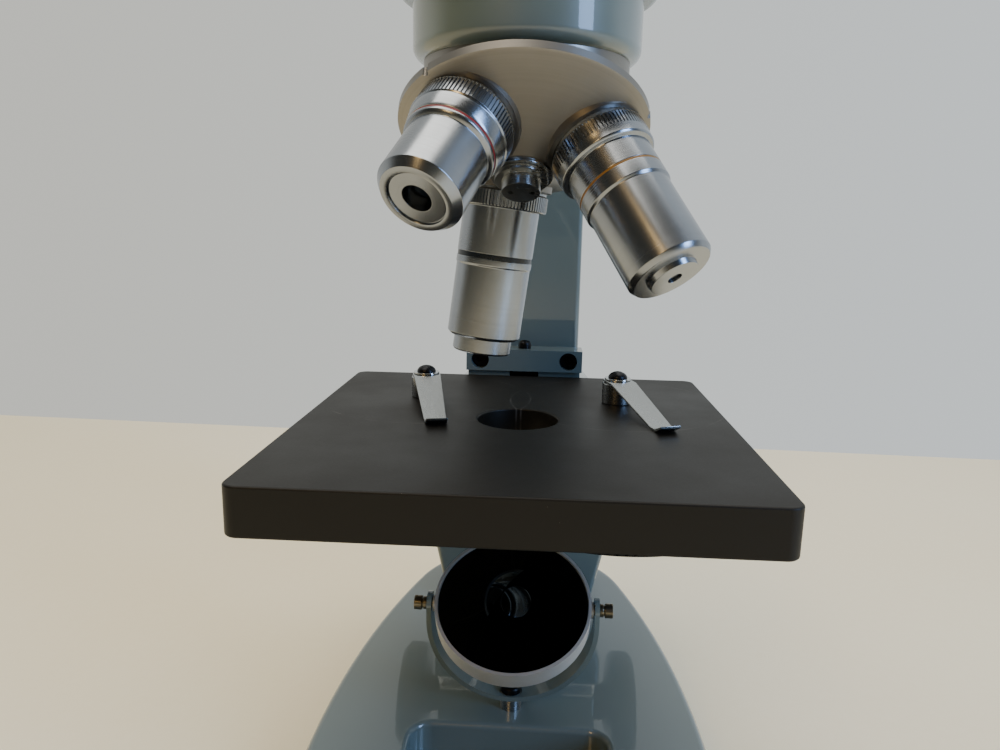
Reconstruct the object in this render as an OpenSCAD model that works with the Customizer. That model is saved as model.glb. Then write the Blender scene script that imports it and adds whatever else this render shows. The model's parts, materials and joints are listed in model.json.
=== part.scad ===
// Monocular student microscope with a tilted triple nosepiece, square stage and substage mirror.
// Millimetres, +Z up, +X to the right of the open side, +Y towards the arm.
// The origin is on the table, on the optical axis.

/* [Base] */
// Height of the base top above the table
base_h = 24; // [22:1:28]
// Half width of the base at its widest place
base_half_w = 57; // [54:1:60]
// Height of the rubber feet
foot_h = 3; // [2:0.5:4]
// Width of the lamp pocket in the base top
pocket_w = 57; // [50:1:60]
// Length of the lamp pocket
pocket_l = 62; // [50:1:66]

/* [Stage] */
// Side of the square stage plate
stage_w = 120.5; // [110:0.5:124]
// Thickness of the stage plate
stage_t = 11.6; // [10:0.2:12]
// Height of the stage top above the table, with the stage lowered as drawn
stage_z = 115.2; // [114:0.2:116]
// Radius of the light aperture in the stage
aperture_r = 11.4; // [10:0.2:12]

/* [Nosepiece] */
// Height of the nosepiece apex above the stage top
apex_h = 103.1; // [102:0.1:104]
// Tilt of the turret axis, and half angle of the cone of objectives
turret_tilt = 26.6; // [26:0.1:27]
// Turn of the turret away from its click stop
turret_turn = -16.25; // [-30:0.25:30]
// Radius of the turret rim
rim_r = 30.7; // [30:0.1:31]

/* [Mirror] */
// Height of the mirror's tilt axis above the table
mirror_z = 57.1; // [56:0.1:58]
// Outer radius of the mirror frame
mirror_r = 23.3; // [22.5:0.1:23.5]
// Tilt of the mirror face towards the open side, away from level
mirror_tilt = 30; // [0:1:60]

/* [Head] */
// Height of the prism centre above the table
prism_z = 278; // [276:1:282]
// Distance from the prism centre to the seat of the eyepiece
tube_l = 66; // [60:1:70]

/* [Hidden] */
$fn = 64;

enamel = "#6c7d82";
satin = "#b9b7b0";
steel = "#8d8f90";
black = "#1c1c1c";

// Base outline: two long side arcs closed by a front and a rear arc, all tangent.
side_r = 352;
side_y = -20;
front_y = -60.7;
rear_y = 72;
side_cx = side_r - base_half_w;
wall = 4.5;
base_top_t = 5;

function cap_r(y) = side_r - norm([side_cx, y - side_y]);
function arc(cx, cy, r, a0, a1, n) =
    [for (i = [0:n]) let (a = a0 + (a1 - a0) * i / n) [cx + r * cos(a), cy + r * sin(a)]];
function right_edge(inset) =
    let (af = atan2(front_y - side_y, side_cx), ar = atan2(rear_y - side_y, side_cx))
    concat(arc(0, front_y, cap_r(front_y) - inset, -90, af, 16),
        arc(-side_cx, side_y, side_r - inset, af + 2, ar - 2, 12),
        arc(0, rear_y, cap_r(rear_y) - inset, ar, 90, 14));
function left_edge(inset) =
    let (r = right_edge(inset)) [for (i = [len(r) - 2:-1:1]) [-r[i][0], r[i][1]]];

module base_outline(inset) {
    polygon(concat(right_edge(inset), left_edge(inset)));
}

module rounded_square(w, l, r) {
    translate([-w / 2 + r, -l / 2]) square([w - 2 * r, l]);
    translate([-w / 2, -l / 2 + r]) square([w, l - 2 * r]);
    for (x = [-1, 1], y = [-1, 1])
        translate([x * (w / 2 - r), y * (l / 2 - r)]) circle(r);
}

// A turned piece: points are radius and distance down from the origin.
module turned(points) {
    rotate_extrude() polygon([for (p = points) [p[0], -p[1]]]);
}

// A round piece along +X between two places.
module along_x(x0, x1, r) {
    translate([x0, 0, 0]) rotate([0, 90, 0]) cylinder(h = x1 - x0, r = r);
}

foot_places = [[-38, -72], [38, -72], [-31, 74], [31, 74]];
arm_bolt_places = [[-16, 71], [16, 71], [-16, 91], [16, 91]];
pocket_y = -10 - pocket_l / 2;
pocket_floor = base_h - 14;
cabinet_y = 42;
cabinet_r = 3;
cabinet_l = 12;
cover_t = 1.4;

module pocket_cut(grow, z0, z1) {
    translate([0, pocket_y, z0]) linear_extrude(z1 - z0)
        rounded_square(pocket_w + 2 * grow, pocket_l + 2 * grow, 6 + grow);
}

module base_casting() {
    color(enamel) difference() {
        union() {
            difference() {
                translate([0, 0, foot_h]) linear_extrude(base_h - foot_h) base_outline(0);
                translate([0, 0, foot_h - 1]) linear_extrude(base_h - base_top_t - foot_h + 1)
                    base_outline(wall);
            }
            pocket_cut(3, pocket_floor - 4, base_h - 1);
            for (p = foot_places)
                translate([p[0], p[1], foot_h + cover_t]) cylinder(h = 16, r = 5);
            translate([0, cabinet_y, foot_h + cover_t]) cylinder(h = 16, r = 9);
            translate([0, 0, foot_h + 8]) cylinder(h = 10, r = 8);
            translate([-25, 64, 16]) cube([50, 35, 6]);
        }
        pocket_cut(0, pocket_floor, base_h + 1);
        for (p = foot_places)
            translate([p[0], p[1], foot_h]) cylinder(h = 12, r = 1.5);
        translate([0, cabinet_y, foot_h]) cylinder(h = cover_t + cabinet_l, r = cabinet_r);
        translate([0, 0, 16]) cylinder(h = base_h, r = 3.25);
        for (p = arm_bolt_places)
            translate([p[0], p[1], 10]) cylinder(h = base_h, r = 3);
    }
}

module base_cover() {
    color(black) difference() {
        translate([0, 0, foot_h]) linear_extrude(cover_t) base_outline(wall + 0.3);
        for (p = foot_places)
            translate([p[0], p[1], 0]) cylinder(h = 9, r = 1.5);
        translate([0, cabinet_y, 0]) cylinder(h = 9, r = 7);
    }
}

module rubber_feet() {
    color(black) for (p = foot_places)
        translate([p[0], p[1], 0]) difference() {
            cylinder(h = foot_h, r = 7.5);
            translate([0, 0, -1]) cylinder(h = foot_h + 2, r = 1.5);
            translate([0, 0, -1]) cylinder(h = 3, r = 3.5);
        }
}

module foot_screws() {
    color(steel) for (p = foot_places)
        translate([p[0], p[1], 0]) {
            translate([0, 0, 0.7]) cylinder(h = 1.3, r = 3);
            translate([0, 0, 1.9]) cylinder(h = 9, r = 1.5);
        }
}

// Focus drive and the places along the arm that depend on it.
shaft_y = 93;
shaft_z = 86;
pitch_r = 6;
teeth = 12;
pressure = 20;
tooth_t = 1.42;
column_y = 81;
column_back = 112;
column_half_w = 20.3;
housing_half_w = 33;
foot_half_w = 27.5;
boss_z = 227.6;
boss_r = 33;
limb_t = 22.4;
boss_top = boss_z + limb_t;
neck_half = 5.3;
tail_half = 8.5;
neck_y = 82;
tail_y = 85.2;
slide_gap = 0.15;
tongue_top = 104.6;
channel_top = tongue_top + 17.2;

module arm_side_outline() {
    polygon(concat(
        [[64, base_h], [64, 58], [73.5, 70], [73.5, 100], [column_y, 110]],
        arc(column_y - 18, boss_z - 18, 18, 0, 90, 10),
        [[0, boss_z], [0, boss_top]],
        arc(column_back - 25, boss_top - 25, 25, 90, 0, 10),
        [[column_back, 78], [100, 56], [100, base_h]]));
}

module arm_front_outline() {
    half = [[foot_half_w, base_h], [housing_half_w, 49], [housing_half_w, 98],
        [column_half_w, 112], [column_half_w, 120]];
    polygon(concat(half, [for (i = [4:-1:0]) [-half[i][0], half[i][1]]]));
}

module side_slab(half) {
    rotate([90, 0, 90]) translate([0, 0, -half]) linear_extrude(2 * half) children();
}

module arm_casting() {
    color(enamel) difference() {
        union() {
            side_slab(column_half_w) arm_side_outline();
            intersection() {
                side_slab(housing_half_w + 1) arm_side_outline();
                translate([0, column_back + 5, 0]) rotate([90, 0, 0]) linear_extrude(60)
                    arm_front_outline();
            }
            translate([0, 0, boss_z]) cylinder(h = limb_t, r = boss_r);
            translate([0, 0, boss_z]) linear_extrude(limb_t)
                polygon([[-30.6, 12], [30.6, 12], [column_half_w, 84], [-column_half_w, 84]]);
        }
        translate([0, 0, boss_z - 1]) cylinder(h = limb_t + 2, r = 14);
        dovetail_channel();
        translate([0, shaft_y, shaft_z]) {
            along_x(-40, 40, 5);
            along_x(-6, 6, 7.8);
            along_x(-40, -22, 7);
            along_x(22, 40, 7);
        }
        for (p = arm_bolt_places)
            translate([p[0], p[1], base_h - 1]) cylinder(h = 15, r = 3);
        for (a = [30, 150, 270])
            rotate([0, 0, a]) translate([0, 24, boss_z - 1]) cylinder(h = 9, r = 1.5);
    }
}

module dovetail_channel() {
    translate([0, 0, 44]) linear_extrude(channel_top - 44) for (s = [-1, 1]) scale_x(s)
        polygon([[-0.5, 71.6], [neck_half + slide_gap, 71.6],
            [neck_half + slide_gap, neck_y - slide_gap / 2],
            [tail_half + 2.5 * slide_gap, tail_y + slide_gap], [-0.5, tail_y + slide_gap]]);
    translate([-4, 72, 44]) cube([8, 16.6, channel_top - 44]);
}

module scale_x(s) {
    if (s < 0) mirror([1, 0, 0]) children();
    else children();
}

module arm_bolts() {
    color(black) for (p = arm_bolt_places)
        translate([p[0], p[1], 0]) difference() {
            union() {
                translate([0, 0, 10]) cylinder(h = 6, r = 5);
                translate([0, 0, 15.9]) cylinder(h = 20, r = 3);
            }
            translate([0, 0, 9]) cylinder(h = 4, r = 2.9, $fn = 6);
        }
}

module shaft_bushes() {
    color("#b08d4a") for (s = [-1, 1])
        translate([0, shaft_y, shaft_z]) scale_x(s) difference() {
            along_x(22, housing_half_w + 0.5, 7);
            along_x(20, housing_half_w + 2, 4.05);
        }
}

// Optical head support and the fixed half of the nosepiece.
housing_bottom = stage_z + 94.3;
housing_r = 29.2;
apex_z = stage_z + apex_h;
rim_s = 28.1;
wedge_s = 26.6;

module turret_frame() {
    translate([0, 0, apex_z]) rotate([-turret_tilt, 0, 0]) children();
}

module nosepiece_housing() {
    h = boss_z - housing_bottom;
    color(enamel) difference() {
        turned_up([[14, 0], [housing_r - 3, 0], [housing_r - 0.9, 0.9], [housing_r, 3],
            [housing_r, h], [14, h]], housing_bottom);
        for (a = [30, 150, 270])
            rotate([0, 0, a]) translate([0, 24, housing_bottom - 1]) {
                cylinder(h = h + 2, r = 1.5);
            }
    }
}

module turned_up(points, z) {
    translate([0, 0, z]) rotate_extrude() polygon(points);
}

module nosepiece_base() {
    color(satin) difference() {
        intersection() {
            turret_frame() translate([0, 0, -wedge_s]) cylinder(h = 50, r = 28.8);
            cylinder(h = 400, r = housing_r - 2.8);
            translate([-40, -60, 0]) cube([80, 120, housing_bottom]);
        }
        cylinder(h = 400, r = 9.5);
        turret_frame() translate([0, 0, -60]) cylinder(h = 46, r = 4.02);
        click_screw_holes();
    }
}

module turret_bolt() {
    color(steel) turret_frame() difference() {
        union() {
            translate([0, 0, -42.6]) cylinder(h = 26, r = 4);
            translate([0, 0, -43.6]) cylinder(h = 1.2, r = 6.5);
            translate([0, 0, -46.6]) cylinder(h = 3.1, r = 4.7);
        }
        for (s = [-1, 1])
            translate([2.6 * s, 0, -48]) cylinder(h = 3, r = 0.7);
    }
}

module turret_washer() {
    color(satin) turret_frame() translate([0, 0, -42.4]) difference() {
        cylinder(h = 0.7, r = 7.6);
        translate([0, 0, -1]) cylinder(h = 3, r = 4);
    }
}

// Leaf spring on the arm side of the nosepiece, whose nose rides on the turret rim.
spring_y = 31.1;
module click_spring() {
    color(steel) turret_frame() difference() {
        union() {
            translate([-4, 28.8, -16]) cube([8, spring_y - 28.8 + 0.8, 9]);
            translate([-4, spring_y, -30]) cube([8, 0.8, 23]);
        }
        translate([0, 20, -11.5]) rotate([-90, 0, 0]) cylinder(h = 20, r = 1.5);
    }
}

module click_screw_holes() {
    turret_frame() translate([0, 20, -11.5]) rotate([-90, 0, 0]) cylinder(h = 20, r = 1.5);
}

module click_screws() {
    color(steel) turret_frame() translate([0, 0, -11.5]) rotate([-90, 0, 0]) {
        translate([0, 0, 21]) cylinder(h = spring_y + 0.8 - 20, r = 1.5);
        translate([0, 0, spring_y + 0.8]) cylinder(h = 1.6, r = 2.8);
    }
}

ring_t = 7;
spigot_r = 20;
module head_ring() {
    color(black) translate([0, 0, boss_top]) difference() {
        cylinder(h = ring_t, r = 27);
        translate([0, 0, 1.5]) cylinder(h = ring_t, r = spigot_r + 0.06);
        translate([0, 0, -1]) cylinder(h = ring_t, r = 14);
        translate([0, 0, 4]) along_x(0, 40, 1.56);
    }
}

module lock_screw() {
    color(black) translate([0, 0, boss_top + 4]) {
        along_x(spigot_r + 0.6, 34.4, 1.5);
        along_x(33.6, 42, 4.6);
    }
}

// Mirror, fork and post.
fork_out = 25.6;
fork_in = 24.2;
fork_w = 7;
fork_drop = 3.8;
fork_bottom = mirror_z - fork_drop - fork_out;

module mirror_post() {
    color(steel) difference() {
        translate([0, 0, 16]) cylinder(h = fork_bottom - 16, r = 3.25);
        translate([0, 0, 18]) cylinder(h = 20, r = 1.5);
    }
}

module fork_screw() {
    color(black) difference() {
        union() {
            translate([0, 0, 18]) cylinder(h = fork_bottom + 2 - 18, r = 1.5);
            translate([0, 0, fork_bottom + 1.6]) cylinder(h = 2.1, r = 3.1);
        }
        translate([-4, -0.4, fork_bottom + 2.7]) cube([8, 0.8, 3]);
    }
}

module mirror_fork() {
    color(enamel) difference() {
        translate([0, 0, mirror_z]) union() {
            difference() {
                translate([0, fork_w / 2, -fork_drop]) rotate([90, 0, 0])
                    difference() {
                        cylinder(h = fork_w, r = fork_out);
                        translate([0, 0, -1]) cylinder(h = fork_w + 2, r = fork_in);
                    }
                translate([-40, -10, -fork_drop]) cube([80, 20, 60]);
            }
            for (s = [-1, 1]) scale_x(s) {
                translate([fork_in, -fork_w / 2, -fork_drop])
                    cube([fork_out - fork_in, fork_w, fork_drop]);
                along_x(fork_in, fork_out, fork_w / 2);
            }
        }
        translate([0, 0, fork_bottom - 1]) cylinder(h = 6, r = 1.56);
        translate([0, 0, mirror_z]) along_x(-40, 40, 1.5);
        translate([0, 0, fork_bottom + 1.4]) cylinder(h = 1, r = 3.4);
    }
}

module pivot_screws() {
    color("#a79465") for (s = [-1, 1])
        translate([0, 0, mirror_z]) scale_x(s) difference() {
            union() {
                along_x(23, 27.4, 1.5);
                along_x(fork_out, 26.9, 1.9);
                along_x(27.3, 29.6, 2.1);
            }
            translate([28.7, -0.35, -3]) cube([2, 0.7, 6]);
        }
}

module mirror_place() {
    translate([0, 0, mirror_z]) rotate([mirror_tilt, 0, 0]) children();
}

module mirror_frame() {
    color(satin) mirror_place() difference() {
        union() {
            difference() {
                translate([0, 0, -3.2]) cylinder(h = 6.4, r = mirror_r);
                translate([0, 0, -4]) cylinder(h = 8, r = mirror_r - 0.9);
            }
            difference() {
                translate([0, 0, -0.4]) cylinder(h = 0.8, r = mirror_r - 0.5);
                translate([0, 0, -1]) cylinder(h = 2, r = 20);
            }
            for (s = [-1, 1]) scale_x(s) along_x(22.6, 23.9, 2.4);
        }
        along_x(-30, 30, 1.56);
    }
}

module mirror_glass(z) {
    mirror_place() translate([0, 0, z]) cylinder(h = 2.2, r = 22.3);
}

module plane_mirror() {
    color(black) mirror_glass(0.4);
}

module concave_mirror() {
    color(black) difference() {
        mirror_glass(-2.6);
        mirror_place() translate([0, 0, -142.1]) sphere(140, $fn = 96);
    }
}

// Stage and its carriage.
stage_y = -0.75;
stage_l = stage_w + 3;
stage_bottom = stage_z - stage_t;
slide_bottom = 61;
bar_front = 62;
web_front = 64;
web_back = 72;
yoke_bottom = 97;
stop_y = 67;
shelf_places = [[-14, 46], [14, 46]];
clip_places = [[-29.8, 24.3], [30, 23.2]];
clip_turns = [13.2, 17.6];
post_h = 6.5;

module stage_bracket() {
    color(enamel) difference() {
        union() {
            translate([-21, bar_front, stage_z + 1.4]) cube([42, web_back - bar_front, 7.8]);
            translate([-20.4, web_front, 88])
                cube([40.8, web_back - web_front, stage_z + 2 - 88]);
            translate([-20.4, 36, stage_bottom - 7]) cube([40.8, 30, 7]);
        }
        translate([-neck_half, 50, stage_bottom - 5])
            cube([2 * neck_half, 30, stage_z + 1.4 - stage_bottom + 5]);
        for (x = [-16, 16]) {
            translate([x, 60, stage_z + 5.3]) rotate([-90, 0, 0]) cylinder(h = 8, r = 3.2);
            translate([x, 60, stage_z + 5.3]) rotate([-90, 0, 0]) cylinder(h = 20, r = 1.8);
        }
        translate([0, stop_y, stage_z + 2.8]) cylinder(h = 8, r = 1.2);
        for (p = shelf_places)
            translate([p[0], p[1], 80]) cylinder(h = 40, r = 2);
    }
}

// A wide steel yoke behind the bracket carries the dovetail tongue.
module dovetail_slide() {
    color(black) difference() {
        union() {
            translate([0, 0, slide_bottom]) linear_extrude(tongue_top - slide_bottom)
                for (s = [-1, 1]) scale_x(s)
                polygon([[-0.5, web_back], [neck_half, web_back], [neck_half, neck_y],
                    [tail_half, tail_y], [-0.5, tail_y]]);
            translate([-neck_half + 0.1, 65, stage_bottom - 4.9])
                cube([2 * neck_half - 0.2, 8, stage_z + 1.3 - stage_bottom + 4.9]);
            translate([-20, web_back, yoke_bottom]) cube([40, 1.2, stage_z + 8 - yoke_bottom]);
        }
        for (x = [-16, 16])
            translate([x, 70, stage_z + 5.3]) rotate([-90, 0, 0]) cylinder(h = 5, r = 1.5);
    }
}

module bracket_bolts() {
    color(black) for (x = [-16, 16])
        translate([x, 0, stage_z + 5.3]) rotate([-90, 0, 0]) difference() {
            union() {
                translate([0, 0, 65]) cylinder(h = 3, r = 3);
                translate([0, 0, 67.9]) cylinder(h = 5.1, r = 1.5);
            }
            translate([0, 0, 64]) cylinder(h = 2.6, r = 1.5, $fn = 6);
        }
}

module stop_screw() {
    color(black) translate([0, stop_y, stage_z]) {
        translate([0, 0, 2.9]) cylinder(h = 7, r = 1.2);
        translate([0, 0, 9.2]) cylinder(h = 1.6, r = 2.3);
        intersection() {
            translate([0, 0, 9.6]) sphere(2.59);
            translate([0, 0, 10.8]) cylinder(h = 4, r = 4);
        }
    }
}

rack_pitch_y = shaft_y - pitch_r;
pitch = PI;
function rack_half(dy) = tooth_t / 2 + dy * tan(pressure);

module focus_rack() {
    color(steel) {
        translate([-3.5, tail_y, slide_bottom]) cube([7, rack_pitch_y - 1.25 - tail_y, tongue_top - slide_bottom]);
        for (i = [-7.5:1:5.5])
            translate([-3.5, 0, shaft_z + i * pitch]) rotate([90, 0, 90])
                linear_extrude(7) polygon([
                    [rack_pitch_y - 1.27, -rack_half(1.25)], [rack_pitch_y - 1.27, rack_half(1.25)],
                    [rack_pitch_y + 0.7, rack_half(-0.7)], [rack_pitch_y + 0.7, -rack_half(-0.7)]]);
    }
}

base_circle = pitch_r * cos(pressure);
function inv_deg(r) = let (a = acos(min(1, base_circle / r))) tan(a) * 180 / PI - a;
function half_deg(r) = tooth_t / (2 * pitch_r) * 180 / PI + inv_deg(pitch_r) - inv_deg(r);
flank = [4.6, base_circle, 5.8, 6, 6.3, 6.65, 7];

module pinion_gear() {
    right = [for (r = flank) [r * cos(half_deg(r)), r * sin(half_deg(r))]];
    tooth = concat(right, [for (i = [len(right) - 1:-1:0]) [right[i][0], -right[i][1]]]);
    color(steel) translate([0, shaft_y, shaft_z]) rotate([90, 0, 90])
        translate([0, 0, -4.5]) difference() {
            union() {
                cylinder(h = 9, r = 4.75);
                for (i = [0:teeth - 1])
                    rotate([0, 0, 180 + i * 360 / teeth]) linear_extrude(9) polygon(tooth);
            }
            translate([0, 0, -1]) cylinder(h = 11, r = 4);
        }
}

module pinion_shaft() {
    color(steel) translate([0, shaft_y, shaft_z]) along_x(-49, 49, 4);
}

knob_in = 39.5;
knob_out = 51;
knob_r = 22;
module focus_knob(s) {
    color(black) translate([0, shaft_y, shaft_z]) scale_x(s) rotate([0, 90, 0]) difference() {
        rotate_extrude() polygon([[0, 34.2], [7.5, 34.2], [8.5, 38], [15, knob_in],
            [knob_r - 1.5, knob_in + 0.6], [knob_r, knob_in + 2.2], [knob_r, knob_out - 2.6],
            [knob_r - 2.4, knob_out - 0.3], [16, knob_out], [0, knob_out]]);
        translate([0, 0, 30]) cylinder(h = 19, r = 4);
        translate([0, 0, 36.2]) rotate([90, 0, 0]) cylinder(h = 12, r = 1.2);
    }
}

module focus_knob_left() {
    focus_knob(-1);
}

module focus_knob_right() {
    focus_knob(1);
}

module knob_set_screws() {
    color(steel) for (s = [-1, 1])
        translate([0, shaft_y, shaft_z]) scale_x(s) translate([36.2, 0, 0])
            rotate([90, 0, 0]) translate([0, 0, 4]) cylinder(h = 3.2, r = 1.2);
}

module stage_plate() {
    color(black) difference() {
        translate([0, stage_y, stage_bottom]) linear_extrude(stage_t)
            rounded_square(stage_w, stage_l, 3.5);
        translate([0, 0, 50]) cylinder(h = 100, r = aperture_r);
        for (p = clip_places)
            translate([p[0], p[1], stage_z - 8]) cylinder(h = 20, r = 1.5);
        for (p = shelf_places)
            translate([p[0], p[1], stage_bottom - 1]) cylinder(h = 8, r = 2);
        translate([disc_place[0], disc_place[1], stage_bottom - 1]) cylinder(h = 7, r = 2);
    }
}

module stage_screws() {
    color(steel) for (p = shelf_places)
        translate([p[0], p[1], stage_bottom - 10]) {
            cylinder(h = 3, r = 3.6);
            cylinder(h = 16, r = 2);
        }
}

module clip_posts() {
    color(satin) for (p = clip_places)
        translate([p[0], p[1], stage_z]) difference() {
            cylinder(h = post_h, r = 4.6);
            translate([0, 0, -1]) cylinder(h = post_h + 2, r = 1.5);
        }
}

module clip_washers() {
    color(satin) for (p = clip_places)
        translate([p[0], p[1], stage_z + post_h + 0.9]) difference() {
            cylinder(h = 0.6, r = 4);
            translate([0, 0, -1]) cylinder(h = 3, r = 1.5);
        }
}

module clip_screws() {
    color(black) for (p = clip_places)
        translate([p[0], p[1], stage_z]) difference() {
            union() {
                translate([0, 0, -7]) cylinder(h = post_h + 9, r = 1.5);
                intersection() {
                    translate([0, 0, post_h + 0.3]) sphere(3.2);
                    translate([0, 0, post_h + 1.5]) cylinder(h = 4, r = 4);
                }
            }
            translate([-4, -0.35, post_h + 2.7]) cube([8, 0.7, 3]);
        }
}

// A spring leaf, drawn along -Y from its pivot: heel, sloping blade and turned-up tip.
leaf_t = 0.7;
module clip_leaf(i) {
    side = [[5.5, post_h + 0.1], [-4.5, post_h + 0.1], [-30.6, 0.1], [-33.4, 0.1], [-36.4, 1.6]];
    top = [for (k = [4:-1:0]) [side[k][0] + (k == 3 ? 0.3 : 0), side[k][1] + leaf_t]];
    p = clip_places[i];
    color(satin) translate([p[0], p[1], stage_z]) rotate([0, 0, clip_turns[i]]) difference() {
        intersection() {
            rotate([90, 0, 90]) translate([0, 0, -6]) linear_extrude(12) polygon(concat(side, top));
            translate([0, 0, -5]) linear_extrude(30)
                polygon(concat(arc(0, 0, 4.3, -10, 190, 12), [[-2.9, -37], [2.9, -37]]));
        }
        cylinder(h = 30, r = 1.58, center = true);
    }
}

module clip_leaf_left() {
    clip_leaf(0);
}

module clip_leaf_right() {
    clip_leaf(1);
}

// Disc diaphragm under the stage: its rim passes the front and right edges of the stage for a finger.
disc_place = [25, -18.6];
disc_r = 37.2;
disc_drop = 1.4;
disc_t = 2;
disc_holes = [5.4, 4.3, 3.3, 2.3, 1.4];
module diaphragm_pin() {
    color(steel) translate([disc_place[0], disc_place[1], stage_bottom]) {
        translate([0, 0, -disc_drop - disc_t - 1.7]) cylinder(h = 1.5, r = 4.5);
        translate([0, 0, -disc_drop - disc_t - 0.3]) cylinder(h = 8, r = 2);
        translate([0, 0, 0.2 - disc_drop]) cylinder(h = disc_drop - 0.2, r = 5);
    }
}

module diaphragm_disc() {
    color(black) translate([disc_place[0], disc_place[1], stage_bottom - disc_drop - disc_t])
        difference() {
            cylinder(h = disc_t, r = disc_r);
            translate([0, 0, -1]) cylinder(h = 4, r = 2.06);
            for (i = [0:4])
                rotate([0, 0, atan2(-disc_place[1], -disc_place[0]) + 72 * i])
                    translate([norm(disc_place), 0, -1]) cylinder(h = 4, r = disc_holes[i]);
        }
}

// Turning half of the nosepiece and the three objectives.
seat_t = 40;
thread_r = 10.16;
seat_r = 12.6;
function cone_s(r) = seat_t * cos(turret_tilt) - (r - seat_t * sin(turret_tilt)) * tan(turret_tilt);

module objective_frame(k) {
    turret_frame() rotate([0, 0, -turret_turn - 120 * k]) rotate([turret_tilt, 0, 0]) children();
}

module turret_shell() {
    inner = 3.6;
    color(satin) difference() {
        union() {
            turret_frame() turned([[27.6, rim_s], [rim_r, rim_s], [rim_r, cone_s(rim_r) + 0.5],
                [rim_r - 0.7, cone_s(rim_r - 0.7) + 0.3], [7.2, cone_s(7.2)], [7.2, 41.6], [4.06, 41.6],
                [4.06, 33.4], [9, 33.4], [9.5, cone_s(9.5) - inner], [27.2, cone_s(27.2) - inner + 0.9],
                [27.6, cone_s(27.6) - 1.9]]);
            for (k = [0:2])
                objective_frame(k) translate([0, 0, -seat_t]) cylinder(h = 3, r = seat_r);
        }
        for (k = [0:2])
            objective_frame(k) translate([0, 0, -seat_t - 1]) cylinder(h = 12, r = thread_r);
        turret_frame() for (k = [0:2])
            rotate([0, 0, -turret_turn - 120 * k]) translate([0, rim_r + 0.3, -31])
                cylinder(h = 5, r = 0.9);
    }
}

module barrel_4x() {
    turned([[8.2, 36], [thread_r, 36], [thread_r, seat_t], [11.4, seat_t], [11.4, 41], [12, 41.3],
        [12, 46], [11.7, 46.4],
        [11.2, 49.8], [9.6, 49.8], [9.6, 50.8], [10.9, 50.8], [10.4, 51.8],
        [9.9, 52.1], [9.9, 66], [8.4, 67.87], [6.8, 67.87], [6.8, 67.1], [3.4, 67.1], [3.4, 60],
        [8.2, 58]]);
}

module barrel_10x() {
    turned([[7, 36], [thread_r, 36], [thread_r, seat_t], [11.4, seat_t], [11.4, 41], [12, 41.3],
        [12, 44.9], [11.8, 45.4], [11.8, 47], [11.4, 47.5], [10.5, 47.7], [10.5, 53.4],
        [9.6, 53.4], [9.6, 54.5], [10.5, 54.5], [10.5, 57.6], [10, 58.1], [10, 77.2],
        [9.2, 78.4], [5.9, 78.4], [5.7, 79.73], [1.6, 79.73], [1.6, 70], [7, 66]]);
}

module barrel_40x() {
    turned([[8.08, 36], [thread_r, 36], [thread_r, seat_t], [11.4, seat_t], [11.4, 41],
        [12, 41.3], [12, 45.2], [11.6, 45.5], [10.2, 45.5], [10.2, 57.6], [9.4, 57.6],
        [9.4, 58.8], [10.2, 58.8], [10.2, 60.5], [10, 60.9], [10, 79.4], [9.1, 80.2],
        [8.08, 80.2]]);
}

module groove_ring(inner, outer, t0, t1) {
    turned([[inner, t0], [outer, t0], [outer, t1], [inner, t1]]);
}

module objective_4x_barrel() {
    color(satin) objective_frame(2) barrel_4x();
}

module objective_4x_ring() {
    color("#a8262c") objective_frame(2) groove_ring(9.6, 10.95, 49.8, 50.8);
}

module objective_4x_lens() {
    color("#20303c") objective_frame(2) translate([0, 0, -64.5]) cylinder(h = 3, r = 3.4);
}

module objective_10x_barrel() {
    color(satin) objective_frame(1) barrel_10x();
}

module objective_10x_ring() {
    color("#b98a2e") objective_frame(1) groove_ring(9.6, 10.6, 53.4, 54.5);
}

module objective_10x_lens() {
    color("#20303c") objective_frame(1) translate([0, 0, -79.2]) cylinder(h = 3, r = 1.6);
}

module objective_40x_barrel() {
    color(satin) objective_frame(0) barrel_40x();
}

module objective_40x_ring() {
    color("#1b2a3c") objective_frame(0) groove_ring(9.4, 10.05, 57.6, 58.8);
}

module objective_40x_nose() {
    color(satin) objective_frame(0)
        turned([[5.5, 66], [8, 66], [8, 83.9], [7.6, 84.35], [3, 84.67], [1.2, 84.67],
            [1.2, 80], [5.5, 78]]);
}

module objective_40x_lens() {
    color("#20303c") objective_frame(0) translate([0, 0, -84.2]) cylinder(h = 3, r = 1.2);
}

// Inclined monocular head: the tube leans back over the arm.
socket_d = 17;
module tube_frame() {
    translate([0, 0, prism_z]) rotate([-45, 0, 0]) children();
}

module head_outline() {
    face = prism_z + 24;
    polygon([[-20, 263], [-20, 286], [-7, 299], [face - 299, 299], [25, face - 25], [25, 263]]);
}

module prism_housing() {
    color(enamel) difference() {
        union() {
            translate([0, 0, boss_top + 1.6]) cylinder(h = 8, r = spigot_r);
            translate([0, 0, boss_top + ring_t + 0.3]) cylinder(h = 8, r = 27);
            side_slab(18) head_outline();
            tube_frame() translate([0, 0, 10]) cylinder(h = 13, r = 17);
        }
        translate([0, 0, boss_top]) cylinder(h = 22, r = 12);
        translate([-13, -13, 267]) cube([26, 26, 21]);
        tube_frame() translate([0, 0, 5]) cylinder(h = 40, r = 11.65);
        tube_frame() translate([0, 0, 14]) cylinder(h = 40, r = 13);
        for (p = screw_yz, s = [-1, 1]) scale_x(s)
            translate([0, p[0], p[1]]) along_x(12, 20, 1.2);
    }
}

screw_yz = [[-16, 268.5], [-16, 282], [20, 268.5]];
module housing_screws() {
    color(steel) for (p = screw_yz, s = [-1, 1]) scale_x(s)
        translate([0, p[0], p[1]]) {
            along_x(13, 18.2, 1.2);
            along_x(18, 19.2, 2.2);
        }
}

module prism() {
    color("#9fb6c0") side_slab(11) polygon([[-11, 267], [11, 267], [12, 276], [3, 285], [-11, 280]]);
}

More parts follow.
